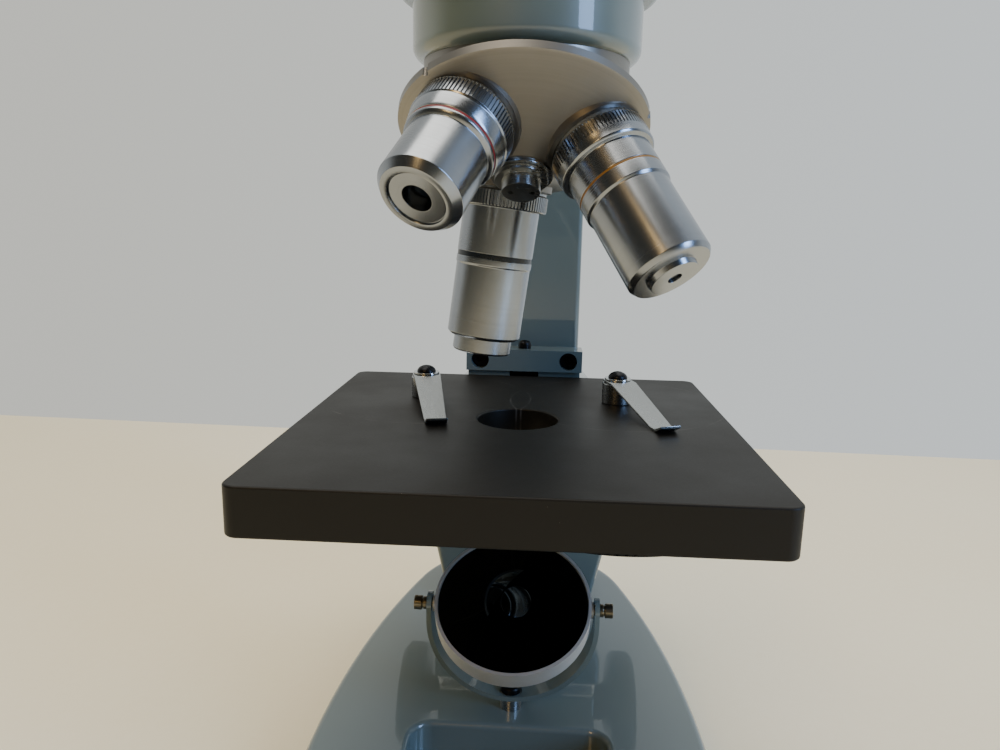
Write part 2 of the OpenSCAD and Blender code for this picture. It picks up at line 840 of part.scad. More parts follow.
module eyepiece_tube() {
    color(satin) tube_frame() difference() {
        translate([0, 0, 14]) cylinder(h = tube_l - 14, r = 13);
        translate([0, 0, 13]) cylinder(h = 90, r = 11.65);
    }
}

module eyepiece_body() {
    color(black) tube_frame() translate([0, 0, tube_l]) rotate_extrude()
        polygon([[9.6, -32], [11.6, -32], [11.6, 0.1], [14, 0.1], [14, 14.5], [12.6, 18],
            [9.2, 18], [9.2, 16.6], [8, 15.4], [8, 10], [9.6, 8]]);
}

module eye_lens() {
    color("#20303c") tube_frame() translate([0, 0, tube_l + 11]) cylinder(h = 3.4, r = 8);
}

module field_lens() {
    color("#20303c") tube_frame() translate([0, 0, tube_l - 29]) cylinder(h = 3.4, r = 9.6);
}

base_casting();
base_cover();
rubber_feet();
foot_screws();
arm_casting();
arm_bolts();
shaft_bushes();
nosepiece_housing();
nosepiece_base();
turret_bolt();
turret_washer();
click_spring();
click_screws();
head_ring();
mirror_post();
fork_screw();
lock_screw();
stage_bracket();
bracket_bolts();
dovetail_slide();
focus_rack();
stop_screw();
stage_plate();
stage_screws();
clip_posts();
clip_washers();
clip_screws();
diaphragm_pin();
clip_leaf_left();
clip_leaf_right();
diaphragm_disc();
pinion_shaft();
pinion_gear();
focus_knob_left();
focus_knob_right();
knob_set_screws();
mirror_fork();
pivot_screws();
mirror_frame();
plane_mirror();
concave_mirror();
turret_shell();
objective_4x_barrel();
objective_4x_ring();
objective_4x_lens();
objective_10x_barrel();
objective_10x_ring();
objective_10x_lens();
objective_40x_barrel();
objective_40x_ring();
objective_40x_nose();
objective_40x_lens();
prism_housing();
housing_screws();
prism();
eyepiece_tube();
eyepiece_body();
eye_lens();
field_lens();
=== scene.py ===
"""A monocular student microscope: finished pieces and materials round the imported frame.

The origin is on the table on the optical axis, X to the right of the open side and Y towards
the arm. Sizes in this file are millimetres; the frame is in metres.
"""
import json
import logging
import math
from dataclasses import dataclass
from enum import Enum
from typing import Any, Callable, Mapping, Sequence

import bpy
from mathutils import Matrix, Vector


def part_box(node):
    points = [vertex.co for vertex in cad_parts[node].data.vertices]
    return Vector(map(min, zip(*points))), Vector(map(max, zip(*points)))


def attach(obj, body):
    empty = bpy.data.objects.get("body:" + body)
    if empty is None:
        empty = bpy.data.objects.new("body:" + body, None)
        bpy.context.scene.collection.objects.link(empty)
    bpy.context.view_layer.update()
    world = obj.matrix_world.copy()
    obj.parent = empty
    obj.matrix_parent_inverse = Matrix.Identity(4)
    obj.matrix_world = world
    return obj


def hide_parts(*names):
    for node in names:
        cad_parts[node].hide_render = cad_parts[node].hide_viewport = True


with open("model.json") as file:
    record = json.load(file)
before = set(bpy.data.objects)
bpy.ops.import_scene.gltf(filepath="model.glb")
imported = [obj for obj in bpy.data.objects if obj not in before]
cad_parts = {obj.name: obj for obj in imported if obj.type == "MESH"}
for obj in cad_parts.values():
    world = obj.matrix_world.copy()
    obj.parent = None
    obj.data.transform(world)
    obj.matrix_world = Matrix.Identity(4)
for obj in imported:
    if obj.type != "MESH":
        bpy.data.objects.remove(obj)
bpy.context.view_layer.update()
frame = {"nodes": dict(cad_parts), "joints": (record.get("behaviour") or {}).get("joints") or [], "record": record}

log = logging.getLogger("microscope")
MM = 0.001
RECORD = frame["record"]
SLOT_OF = {part["node"]: part["material_slot"] for part in RECORD["subparts"]}
BODY_OF = {n: body for body, nodes in RECORD["behaviour"]["bodies"].items() for n in nodes}
JOINTS = {joint["name"]: joint for joint in frame["joints"]}

Point = Sequence[float]


# ---------------------------------------------------------------- places taken from the frame


def upright(origin: Vector, up: Vector) -> Matrix:
    """A place whose Z axis is up and whose origin is given.

    Args:
        origin: the place's origin, in metres.
        up: the direction of its Z axis.

    Returns:
        The 4x4 matrix from the place to the row frame.
    """
    turn = Vector((0, 0, 1)).rotation_difference(up.normalized()).to_matrix().to_4x4()
    return Matrix.Translation(origin) @ turn


APEX = Vector(JOINTS["turret_spin"]["pos_m"])
TURRET_UP = -Vector(JOINTS["turret_spin"]["axis"])
TURRET_PLACE = upright(APEX, TURRET_UP)
MIRROR_PIVOT = Vector(JOINTS["mirror_tilt"]["pos_m"])
SHAFT = Vector(JOINTS["pinion_spin"]["pos_m"])
TUBE_UP = Vector(JOINTS["eyepiece_pull"]["axis"])
PRISM_CENTRE = Vector((0, 0, 0.278))
TUBE_PLACE = upright(PRISM_CENTRE, TUBE_UP)
STAGE_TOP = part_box("stage_plate")[1].z / MM
STAGE_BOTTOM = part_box("stage_plate")[0].z / MM
DISC_CENTRE = Vector(JOINTS["diaphragm_turn"]["pos_m"])


def objective_place(index: int) -> Matrix:
    """The place of an objective, with Z up along it from its front to the turret's apex.

    Args:
        index: 0 for the 40x, 1 for the 10x and 2 for the 4x, as they follow round the turret.

    Returns:
        The matrix of the place, whose origin is the apex.
    """
    step = Matrix.Rotation(math.radians(-120 * index), 3, TURRET_UP.normalized())
    return upright(APEX, step @ Vector(JOINTS["nose_retract"]["axis"]))


# ---------------------------------------------------------------- modelling bench


class Pick(Enum):
    """What a selection in edit mode is made of."""

    POINTS = 0
    EDGES = 1
    FACES = 2


def clear_selection() -> None:
    """Leaves edit mode and deselects every object."""
    if bpy.context.mode != "OBJECT":
        bpy.ops.object.mode_set(mode="OBJECT")
    bpy.ops.object.select_all(action="DESELECT")


class Workpiece:
    """A piece on the bench, started from a primitive and shaped in edit mode."""

    def __init__(self, obj: bpy.types.Object, name: str) -> None:
        """Takes a primitive onto the bench.

        Args:
            obj: the primitive just added.
            name: the name of the finished piece.
        """
        self.obj = obj
        obj.name = obj.data.name = name

    def hold(self) -> None:
        """Makes this piece the only selected and the active one."""
        clear_selection()
        self.obj.select_set(True)
        bpy.context.view_layer.objects.active = self.obj

    @classmethod
    def line(cls, name: str, points: Sequence[Point]) -> "Workpiece":
        """One point extruded from place to place, left in edit mode with all selected.

        Args:
            name: the piece's name.
            points: the places, in millimetres.

        Returns:
            The line as a workpiece.
        """
        clear_selection()
        bpy.ops.mesh.primitive_plane_add(size=MM)
        work = cls(bpy.context.active_object, name)
        bpy.context.tool_settings.mesh_select_mode = (True, False, False)
        bpy.ops.object.mode_set(mode="EDIT")
        bpy.ops.mesh.select_all(action="SELECT")
        bpy.ops.mesh.merge(type="CENTER")
        bpy.ops.transform.translate(value=Vector(points[0]) * MM)
        for start, end in zip(points, points[1:]):
            step = (Vector(end) - Vector(start)) * MM
            bpy.ops.mesh.extrude_region_move(TRANSFORM_OT_translate={"value": step})
        bpy.ops.mesh.select_all(action="SELECT")
        return work

    @classmethod
    def turned(cls, name: str, profile: Sequence[Point], steps: int = 96) -> "Workpiece":
        """A lathe-turned piece about Z: the profile is spun through a full turn.

        Args:
            name: the piece's name.
            profile: pairs of radius and height, closed or ending on the axis.
            steps: facets round the turn.

        Returns:
            The workpiece in object mode.
        """
        work = cls.line(name, [(r, 0, h) for r, h in profile])
        bpy.ops.mesh.spin(steps=steps, angle=math.tau, center=(0, 0, 0), axis=(0, 0, 1))
        bpy.ops.mesh.select_all(action="SELECT")
        bpy.ops.mesh.remove_doubles(threshold=0.002 * MM)
        bpy.ops.mesh.normals_make_consistent(inside=False)
        bpy.ops.object.mode_set(mode="OBJECT")
        return work

    @classmethod
    def ring(cls, name: str, profile: Sequence[Point], steps: int = 96) -> "Workpiece":
        """As turned, for a profile that goes round a bore and is closed here."""
        return cls.turned(name, [*profile, profile[0]], steps)

    @classmethod
    def prism(cls, name: str, outline: Sequence[Point], rise: Point) -> "Workpiece":
        """A closed outline filled with one face and extruded along rise.

        Args:
            name: the piece's name.
            outline: points of the outline in millimetres, not repeated at the end.
            rise: the extrusion in millimetres.

        Returns:
            The workpiece in object mode.
        """
        work = cls.line(name, [*outline, outline[0]])
        bpy.ops.mesh.remove_doubles(threshold=0.002 * MM)
        bpy.ops.mesh.select_all(action="SELECT")
        bpy.ops.mesh.edge_face_add()
        bpy.ops.mesh.extrude_region_move(TRANSFORM_OT_translate={"value": Vector(rise) * MM})
        bpy.ops.mesh.select_all(action="SELECT")
        bpy.ops.mesh.normals_make_consistent(inside=False)
        bpy.ops.object.mode_set(mode="OBJECT")
        return work

    @classmethod
    def block(cls, name: str, low: Point, high: Point) -> "Workpiece":
        """A rectangular block between two corners in millimetres."""
        clear_selection()
        bpy.ops.mesh.primitive_cube_add(size=1)
        work = cls(bpy.context.active_object, name)
        bpy.ops.object.mode_set(mode="EDIT")
        bpy.ops.mesh.select_all(action="SELECT")
        size = [(b - a) * MM for a, b in zip(low, high)]
        bpy.ops.transform.resize(value=size, center_override=(0, 0, 0))
        bpy.ops.transform.translate(value=[(a + b) / 2 * MM for a, b in zip(low, high)])
        bpy.ops.object.mode_set(mode="OBJECT")
        return work

    @classmethod
    def copied(cls, name: str, node: str) -> "Workpiece":
        """A copy of a CAD node with its loose triangles merged and its flats made whole."""
        clear_selection()
        source = frame["nodes"][node]
        obj = bpy.data.objects.new(name, source.data.copy())
        bpy.context.scene.collection.objects.link(obj)
        work = cls(obj, name)
        obj.data.materials.clear()
        work.hold()
        bpy.ops.mesh.customdata_custom_splitnormals_clear()
        bpy.ops.object.mode_set(mode="EDIT")
        bpy.ops.mesh.select_all(action="SELECT")
        bpy.ops.mesh.remove_doubles(threshold=0.001 * MM)
        bpy.ops.mesh.dissolve_limited(angle_limit=math.radians(0.5))
        bpy.ops.object.mode_set(mode="OBJECT")
        return work

    def tidy(self) -> "Workpiece":
        """Merges doubled points and makes flats whole again after a boolean."""
        self.hold()
        bpy.ops.object.mode_set(mode="EDIT")
        bpy.ops.mesh.select_all(action="SELECT")
        bpy.ops.mesh.remove_doubles(threshold=0.01 * MM)
        bpy.ops.mesh.dissolve_limited(angle_limit=math.radians(1))
        bpy.ops.object.mode_set(mode="OBJECT")
        return self

    def pick(self, what: Pick, test: Callable[..., bool]) -> int:
        """Enters edit mode with the parts that pass a test selected.

        Args:
            what: points, edges or faces.
            test: takes a point's place, an edge's two ends, or a face's centre and normal,
                in millimetres, and says whether it is wanted.

        Returns:
            How many were selected.
        """
        self.hold()
        bpy.context.tool_settings.mesh_select_mode = tuple(what is p for p in Pick)
        mesh = self.obj.data
        for group in (mesh.vertices, mesh.edges, mesh.polygons):
            group.foreach_set("select", [False] * len(group))
        count = 0
        spots = [v.co / MM for v in mesh.vertices]
        if what is Pick.FACES:
            for face in mesh.polygons:
                face.select = test(face.center / MM, face.normal)
                count += face.select
        elif what is Pick.EDGES:
            for edge in mesh.edges:
                edge.select = test(*(spots[i] for i in edge.vertices))
                count += edge.select
        else:
            for spot, vertex in zip(spots, mesh.vertices):
                vertex.select = test(spot)
                count += vertex.select
        bpy.ops.object.mode_set(mode="EDIT")
        return count

    def modify(self, kind: str, **settings: Any) -> "Workpiece":
        """Adds a modifier with its settings and applies it."""
        self.hold()
        modifier = self.obj.modifiers.new(kind, kind)
        for name, value in settings.items():
            setattr(modifier, name, value)
        bpy.ops.object.modifier_apply(modifier=modifier.name)
        return self

    def soften(self, width: float, segments: int = 3, angle: float = 30,
               clamp: bool = True) -> "Workpiece":
        """Rounds every edge sharper than an angle.

        Args:
            width: the rounding in millimetres.
            segments: facets across it.
            angle: the least angle between two faces, in degrees.
            clamp: keeps roundings from running over each other.

        Returns:
            This workpiece.
        """
        return self.modify("BEVEL", width=width * MM, segments=segments, limit_method="ANGLE",
                           angle_limit=math.radians(angle), use_clamp_overlap=clamp)

    def _combine(self, other: "Workpiece", operation: str) -> "Workpiece":
        """Combines with another workpiece by a boolean and uses the other up."""
        self.modify("BOOLEAN", operation=operation, solver="EXACT", object=other.obj)
        bpy.data.objects.remove(other.obj)
        return self

    def cut(self, tool: "Workpiece") -> "Workpiece":
        """Cuts a tool's shape out of this piece."""
        return self._combine(tool, "DIFFERENCE")

    def weld(self, other: "Workpiece") -> "Workpiece":
        """Unites another shape with this piece."""
        return self._combine(other, "UNION")

    def common(self, other: "Workpiece") -> "Workpiece":
        """Keeps only what lies in another shape too."""
        return self._combine(other, "INTERSECT")

    def place(self, matrix: Matrix) -> "Workpiece":
        """Moves the mesh to a place and leaves the object at the origin."""
        self.hold()
        self.obj.matrix_world = matrix
        bpy.ops.object.transform_apply(location=True, rotation=True, scale=True)
        return self

    def repeated(self, places: Sequence[Matrix]) -> "Workpiece":
        """Copies the piece to each place and joins the copies into one object."""
        copies = []
        for matrix in places:
            self.hold()
            bpy.ops.object.duplicate()
            copy = Workpiece(bpy.context.active_object, self.obj.name + "_copy")
            copies.append(copy.place(matrix))
        self.hold()
        bpy.ops.object.mode_set(mode="EDIT")
        bpy.ops.mesh.select_all(action="SELECT")
        bpy.ops.mesh.delete(type="VERT")
        self.hold()
        for copy in copies:
            copy.obj.select_set(True)
        bpy.ops.object.join()
        return self

    def knurl(self, radius: float, low: float, high: float, depth: float, steps: int,
              width: float = 0.12) -> "Workpiece":
        """Presses straight grooves into every other facet of a turned band.

        Args:
            radius: the band's radius.
            low: its lower height.
            high: its upper height.
            depth: the depth of a groove.
            steps: facets round the band, every other one a groove.
            width: the slope at each side of a groove.

        Returns:
            This workpiece.
        """
        step = math.tau / steps

        def wanted(c: Vector, n: Vector) -> bool:
            return (abs(c.xy.length - radius) < 0.2 and low < c.z < high and abs(n.z) < 0.3
                    and round(math.atan2(c.y, c.x) / step - 0.5) % 2 == 0)

        self.pick(Pick.FACES, wanted)
        bpy.ops.mesh.inset(thickness=width * MM, depth=-depth * MM, use_individual=True)
        bpy.ops.object.mode_set(mode="OBJECT")
        return self

    def smooth(self, angle: float = 32) -> "Workpiece":
        """Shades smooth up to an angle, with normals held true on the flats."""
        self.hold()
        bpy.ops.object.shade_smooth_by_angle(angle=math.radians(angle))
        return self.modify("WEIGHTED_NORMAL", weight=90, keep_sharp=True)

    def deliver(self, nodes: Sequence[str], material: bpy.types.Material) -> None:
        """Hands the piece over to the frame in place of CAD nodes.

        Args:
            nodes: the CAD nodes that it stands for, all on one body.
            material: its finish.
        """
        self.obj.data.materials.clear()
        self.obj.data.materials.append(material)
        self.smooth()
        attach(self.obj, BODY_OF[nodes[0]])
        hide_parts(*nodes)
        if not self.obj.data.polygons:
            raise RuntimeError(f"{self.obj.name} has no faces")
        log.info("%s: %d faces, %s", self.obj.name, len(self.obj.data.polygons), material.name)


def drill(x: float, y: float, low: float, high: float, radius: float) -> Workpiece:
    """A round cutting tool along Z."""
    return Workpiece.turned("drill", [(0, low), (radius, low), (radius, high), (0, high)],
                            48).place(Matrix.Translation(Vector((x, y, 0)) * MM))


def arc(cx: float, cy: float, radius: float, start: float, end: float, count: int) -> list[Point]:
    """Points on an arc in a plane, angles in degrees."""
    angles = [math.radians(start + (end - start) * i / count) for i in range(count + 1)]
    return [(cx + radius * math.cos(a), cy + radius * math.sin(a)) for a in angles]


# ---------------------------------------------------------------- finishes


def linear(hex_code: str) -> tuple[float, float, float, float]:
    """An sRGB hex colour as linear red, green, blue and alpha."""
    parts = [int(hex_code[i:i + 2], 16) / 255 for i in (1, 3, 5)]
    return (*(c / 12.92 if c <= 0.04045 else ((c + 0.055) / 1.055) ** 2.4 for c in parts), 1.0)


def add(tree: bpy.types.NodeTree, kind: str, settings: Mapping[str, Any] | None = None,
        inputs: Mapping[str | int, Any] | None = None) -> bpy.types.Node:
    """Adds a node with its settings and links.

    Args:
        tree: the node tree.
        kind: the node's type name.
        settings: properties of the node.
        inputs: values or output sockets for its inputs, by name or number.

    Returns:
        The new node.
    """
    made = tree.nodes.new(kind)
    for name, value in (settings or {}).items():
        setattr(made, name, value)
    for name, value in (inputs or {}).items():
        if isinstance(value, bpy.types.NodeSocket):
            tree.links.new(value, made.inputs[name])
        else:
            made.inputs[name].default_value = value
    return made


class Grain(Enum):
    """How a surface was made, which sets the pattern that it shows."""

    SPRAYED = "sprayed paint: faint orange peel and a slow drift of shade"
    TURNED = "turned on a lathe: fine rings about the piece's axis"
    BRUSHED = "drawn or ground one way: long fine streaks"
    BLASTED = "bead blasted or cast: an even fine tooth"
    POLISHED = "polished: nearly no tooth, a few wipe marks"


@dataclass(frozen=True)
class Finish:
    """A material and process, with its colours and the sizes of its pattern."""

    name: str
    grain: Grain
    colour: str
    shade: str
    metallic: float = 0.0
    roughness: float = 0.4
    spread: float = 0.08
    grain_mm: float = 0.5
    bump_mm: float = 0.01
    drift_mm: float = 30.0
    fine_share: float = 0.45
    coat: float = 0.0
    coat_roughness: float = 0.03
    anisotropy: float = 0.0
    ior: float = 1.5
    streak: tuple[float, float, float] = (1.0, 1.0, 1.0)
    speck: str = ""
    speck_mm: float = 7.0
    speck_size: float = 0.03
    transmission: float = 0.0

    def coordinates(self, tree: bpy.types.NodeTree, place: Matrix) -> bpy.types.Node:
        """The piece's own coordinates, in metres, seen from a place on it."""
        source = add(tree, "ShaderNodeTexCoord")
        return add(tree, "ShaderNodeMapping", {"vector_type": "TEXTURE"},
                   {"Vector": source.outputs["Object"], "Location": place.to_translation(),
                    "Rotation": place.to_euler()})

    def pattern(self, tree: bpy.types.NodeTree, here: bpy.types.Node) -> bpy.types.NodeSocket:
        """The fine pattern of the process, from 0 to 1."""
        scale = 1 / (self.grain_mm * MM)
        vector = here.outputs["Vector"]
        if self.grain is Grain.TURNED:
            flat = add(tree, "ShaderNodeVectorMath", {"operation": "MULTIPLY"},
                       {0: vector, 1: (1, 1, 0)})
            radius = add(tree, "ShaderNodeVectorMath", {"operation": "LENGTH"},
                         {0: flat.outputs[0]})
            split = add(tree, "ShaderNodeSeparateXYZ", None, {0: vector})
            vector = add(tree, "ShaderNodeCombineXYZ", None,
                         {0: radius.outputs["Value"], 2: split.outputs["Z"]}).outputs[0]
        elif self.grain is Grain.BRUSHED:
            vector = add(tree, "ShaderNodeVectorMath", {"operation": "MULTIPLY"},
                         {0: vector, 1: self.streak}).outputs[0]
        noise = add(tree, "ShaderNodeTexNoise", None,
                    {"Vector": vector, "Scale": scale, "Detail": 5.0, "Roughness": 0.62})
        return noise.outputs["Fac"]

    def tangent(self, tree: bpy.types.NodeTree, here: bpy.types.Node,
                place: Matrix) -> bpy.types.NodeSocket:
        """The direction round the lathe's axis, for the stretched highlight of turned metal."""
        across = add(tree, "ShaderNodeVectorMath", {"operation": "CROSS_PRODUCT"},
                     {0: (0, 0, 1), 1: here.outputs["Vector"]})
        turned = add(tree, "ShaderNodeVectorRotate", {"rotation_type": "EULER_XYZ"},
                     {"Vector": across.outputs[0], "Rotation": place.to_euler()})
        world = add(tree, "ShaderNodeVectorTransform",
                    {"vector_type": "VECTOR", "convert_from": "OBJECT", "convert_to": "WORLD"},
                    {0: turned.outputs[0]})
        return world.outputs[0]

    def marks(self, tree: bpy.types.NodeTree, here: bpy.types.Node,
              colour: bpy.types.NodeSocket) -> bpy.types.NodeSocket:
        """Dust or pits over the colour. Finishes with marks of their own extend this."""
        if not self.speck:
            return colour
        cells = add(tree, "ShaderNodeTexVoronoi", None,
                    {"Vector": here.outputs["Vector"], "Scale": 1 / (self.speck_mm * MM)})
        near = add(tree, "ShaderNodeMapRange", None,
                   {"Value": cells.outputs["Distance"], 1: 0.0, 2: self.speck_size, 3: 1.0, 4: 0.0})
        pick = add(tree, "ShaderNodeSeparateColor", None, {0: cells.outputs["Color"]})
        some = add(tree, "ShaderNodeMath", {"operation": "GREATER_THAN"}, {0: pick.outputs[0], 1: 0.55})
        both = add(tree, "ShaderNodeMath", {"operation": "MULTIPLY"},
                   {0: near.outputs[0], 1: some.outputs[0]})
        mix = add(tree, "ShaderNodeMix", {"data_type": "RGBA"},
                  {0: both.outputs[0], 6: colour, 7: linear(self.speck)})
        return mix.outputs[2]

    def material(self, place: Matrix = Matrix.Identity(4), suffix: str = "") -> bpy.types.Material:
        """Makes the material, or gives the one already made.

        Args:
            place: where the pattern is centred and which way it is turned.
            suffix: what tells this placing apart from others of the same finish.

        Returns:
            The material.
        """
        title = self.name + (" " + suffix if suffix else "")
        if title in bpy.data.materials:
            return bpy.data.materials[title]
        made = bpy.data.materials.new(title)
        made.use_nodes = True
        tree = made.node_tree
        tree.nodes.clear()
        here = self.coordinates(tree, place)
        fine = self.pattern(tree, here)
        broad = add(tree, "ShaderNodeTexNoise", None,
                    {"Vector": here.outputs["Vector"], "Scale": 1 / (self.drift_mm * MM),
                     "Detail": 3.0, "Roughness": 0.55})
        both = add(tree, "ShaderNodeMath", {"operation": "MULTIPLY_ADD"},
                   {0: fine, 1: self.fine_share, 2: broad.outputs["Fac"]})
        drift = add(tree, "ShaderNodeMapRange", None,
                    {"Value": both.outputs[0], 1: self.fine_share, 2: 0.55 + self.fine_share,
                     3: 0.0, 4: 1.0})
        mix = add(tree, "ShaderNodeMix", {"data_type": "RGBA"},
                  {0: drift.outputs[0], 6: linear(self.colour), 7: linear(self.shade)})
        colour = self.marks(tree, here, mix.outputs[2])
        rough = add(tree, "ShaderNodeMapRange", None,
                    {"Value": both.outputs[0], 1: self.fine_share, 2: 0.55 + self.fine_share,
                     3: max(0.0, self.roughness - self.spread), 4: self.roughness + self.spread})
        bump = add(tree, "ShaderNodeBump", None,
                   {"Height": fine, "Distance": self.bump_mm * MM, "Strength": 1.0})
        shader = add(tree, "ShaderNodeBsdfPrincipled", None,
                     {"Base Color": colour, "Roughness": rough.outputs[0],
                      "Normal": bump.outputs[0], "Metallic": self.metallic,
                      "Coat Weight": self.coat, "Coat Roughness": self.coat_roughness,
                      "Transmission Weight": self.transmission})
        if not self.metallic:
            shader.inputs["IOR"].default_value = self.ior
        if self.anisotropy:
            shader.inputs["Anisotropic"].default_value = self.anisotropy
            shader.inputs["Anisotropic Rotation"].default_value = 0.25
            tree.links.new(self.tangent(tree, here, place), shader.inputs["Tangent"])
        add(tree, "ShaderNodeOutputMaterial", None, {0: shader.outputs[0]})
        return made


@dataclass(frozen=True)
class StageBlack(Finish):
    """Matt black stage paint with the arcs that the clip tips have worn into it."""

    pivots: tuple[tuple[float, float], ...] = ((-29.8, 24.3), (30.0, 23.2))
    sweep: float = 33.0
    line: float = 0.35

    def marks(self, tree: bpy.types.NodeTree, here: bpy.types.Node,
              colour: bpy.types.NodeSocket) -> bpy.types.NodeSocket:
        """Worn arcs round the clips' pivots, broken up, over the dust."""
        colour = super().marks(tree, here, colour)
        flat = add(tree, "ShaderNodeVectorMath", {"operation": "MULTIPLY"},
                   {0: here.outputs["Vector"], 1: (1, 1, 0)})
        gaps = add(tree, "ShaderNodeTexNoise", None,
                   {"Vector": here.outputs["Vector"], "Scale": 1 / (9 * MM), "Detail": 4.0})
        broken = add(tree, "ShaderNodeMapRange", None,
                     {"Value": gaps.outputs["Fac"], 1: 0.4, 2: 0.72, 3: 0.0, 4: 0.55})
        for x, y in self.pivots:
            away = add(tree, "ShaderNodeVectorMath", {"operation": "DISTANCE"},
                       {0: flat.outputs[0], 1: (x * MM, y * MM, 0)})
            off = add(tree, "ShaderNodeMath", {"operation": "SUBTRACT"},
                      {0: away.outputs["Value"], 1: self.sweep * MM})
            size = add(tree, "ShaderNodeMath", {"operation": "ABSOLUTE"}, {0: off.outputs[0]})
            ring = add(tree, "ShaderNodeMapRange", None,
                       {"Value": size.outputs[0], 1: 0.0, 2: self.line * MM, 3: 1.0, 4: 0.0})
            worn = add(tree, "ShaderNodeMath", {"operation": "MULTIPLY"},
                       {0: ring.outputs[0], 1: broken.outputs[0]})
            colour = add(tree, "ShaderNodeMix", {"data_type": "RGBA"},
                         {0: worn.outputs[0], 6: colour, 7: linear("#6E6B66")}).outputs[2]
        return colour


# Sprayed stoving enamel: a deep wet gloss over soft blue-grey, flowed out with no orange peel.
ENAMEL = Finish("sprayed blue-grey stoving enamel", Grain.SPRAYED, "#63726F", "#6A7876",
                roughness=0.32, spread=0.03, grain_mm=3.0, bump_mm=0.0, drift_mm=60,
                fine_share=0.05, coat=1.0, coat_roughness=0.025)
# Satin-turned aluminium: grey-white with fine rings that stretch the highlight lengthwise.
ALLOY = Finish("turned satin aluminium", Grain.TURNED, "#A0A5AC", "#92969C", metallic=1.0,
               roughness=0.25, spread=0.05, grain_mm=0.35, bump_mm=0.006, drift_mm=18,
               anisotropy=0.4, speck="#6A6762", speck_mm=4.5, speck_size=0.025)
# Blasted aluminium: an even silvery bloom that stays bright against dark glass.
BLASTED = Finish("bead-blasted aluminium", Grain.BLASTED, "#D6D5D1", "#C8C7C3", metallic=0.55,
                 roughness=0.45, spread=0.06, grain_mm=0.4, bump_mm=0.006)
# Yellow-passivated zinc on small screws: a dull straw tint over grey.
PASSIVATED = Finish("yellow-passivated zinc plate", Grain.TURNED, "#8F8772", "#6E6858",
                    metallic=1.0, roughness=0.34, grain_mm=0.5, bump_mm=0.006)
# Satin nickel plate on turned brass: warmer and softer than the aluminium.
NICKEL = Finish("satin nickel plate", Grain.TURNED, "#8F8C87", "#85827D", metallic=1.0,
                roughness=0.38, spread=0.07, grain_mm=0.6, bump_mm=0.006, drift_mm=22,
                anisotropy=0.25, speck="#77736C", speck_mm=5, speck_size=0.025)
# Ground tool steel: cool, a little darker, streaked one way.
STEEL = Finish("ground steel", Grain.BRUSHED, "#A9ABAD", "#8D9092", metallic=1.0,
               roughness=0.28, grain_mm=0.7, bump_mm=0.006, streak=(0.12, 1, 1))
# Chemically blackened steel: near black with a dull oily sheen.
BLACK_STEEL = Finish("blackened steel", Grain.BLASTED, "#1B1C1F", "#2A2B2E", metallic=0.9,
                     roughness=0.36, grain_mm=0.4, bump_mm=0.006)
# Machined bronze bearing metal: brown-gold, slightly dulled.
BRONZE = Finish("machined bearing bronze", Grain.TURNED, "#B3986A", "#8F774D", metallic=1.0,
                roughness=0.32, grain_mm=0.5, bump_mm=0.008)
# Moulded natural rubber: dull black with a grey bloom.
RUBBER = Finish("moulded rubber", Grain.BLASTED, "#1A1A1A", "#262524", roughness=0.75,
                grain_mm=0.35, bump_mm=0.02)
# Crackle-free satin black paint on sheet steel.
COVER = Finish("satin black sheet paint", Grain.SPRAYED, "#171717", "#202020", roughness=0.5,
               grain_mm=1.2, bump_mm=0.01)
# Compression-moulded phenolic: black, shining where it is handled.
PHENOLIC = Finish("moulded black phenolic", Grain.POLISHED, "#141416", "#1D1D20", roughness=0.24,
                  spread=0.07, grain_mm=2.5, bump_mm=0.006, coat=0.4, coat_roughness=0.12)
# Hard-rolled spring steel strip, brightened by wear: long streaks and a soft mirror.
SPRING = Finish("rolled bright spring steel", Grain.BRUSHED, "#BFC1C1", "#A3A5A4", metallic=1.0,
                roughness=0.26, spread=0.09, grain_mm=0.9, bump_mm=0.008, streak=(1, 0.18, 1),
                speck="#6D6D69", speck_mm=3.2, speck_size=0.04)
# Polished chromium plate: cold and mirror-like.
CHROME = Finish("polished chromium plate", Grain.POLISHED, "#D4D6D8", "#C4C7CA", metallic=1.0,
                roughness=0.09, spread=0.04, grain_mm=3, bump_mm=0.002)
# Front-silvered looking glass: a perfect mirror with wipe marks and dust. Its colour is painted dark as painted
# shade, standing in for the dark stage underside that it reflects.
MIRROR_PAINTED_DARK = Finish("silvered mirror glass with painted shade", Grain.POLISHED, "#596166", "#50585C", metallic=1.0,
                  roughness=0.015, spread=0.012, grain_mm=6, bump_mm=0.0, speck="#5E6468",
                  speck_mm=2.6, speck_size=0.02)
# Coated optical glass: nearly black in its cell, with a violet-blue bloom.
LENS = Finish("coated optical glass", Grain.POLISHED, "#0B1018", "#121A26", roughness=0.03,
              spread=0.01, grain_mm=4, bump_mm=0.0, coat=0.2, ior=1.3)
# Baked enamel in a turned groove: a thin dull red line that marks the lowest power.
RED = Finish("red filled enamel", Grain.SPRAYED, "#9C1F28", "#861A22", roughness=0.35,
             grain_mm=0.4, bump_mm=0.01)
# The same fill in yellow: it reads as a brown-gold line on the middle power.
OCHRE = Finish("yellow filled enamel", Grain.SPRAYED, "#9A6A22", "#7E5519", roughness=0.35,
               grain_mm=0.4, bump_mm=0.01)
# The same fill in blue-black: a crisp dark band round the highest power.
INK = Finish("blue-black filled enamel", Grain.SPRAYED, "#0E1620", "#16222F", roughness=0.3,
             grain_mm=0.4, bump_mm=0.01)
# Black anodised aluminium: fine turned rings under a dark satin skin.
ANODISED = Finish("black anodised aluminium", Grain.TURNED, "#18181A", "#232326", metallic=0.7,
                  roughness=0.38, grain_mm=0.6, bump_mm=0.008)
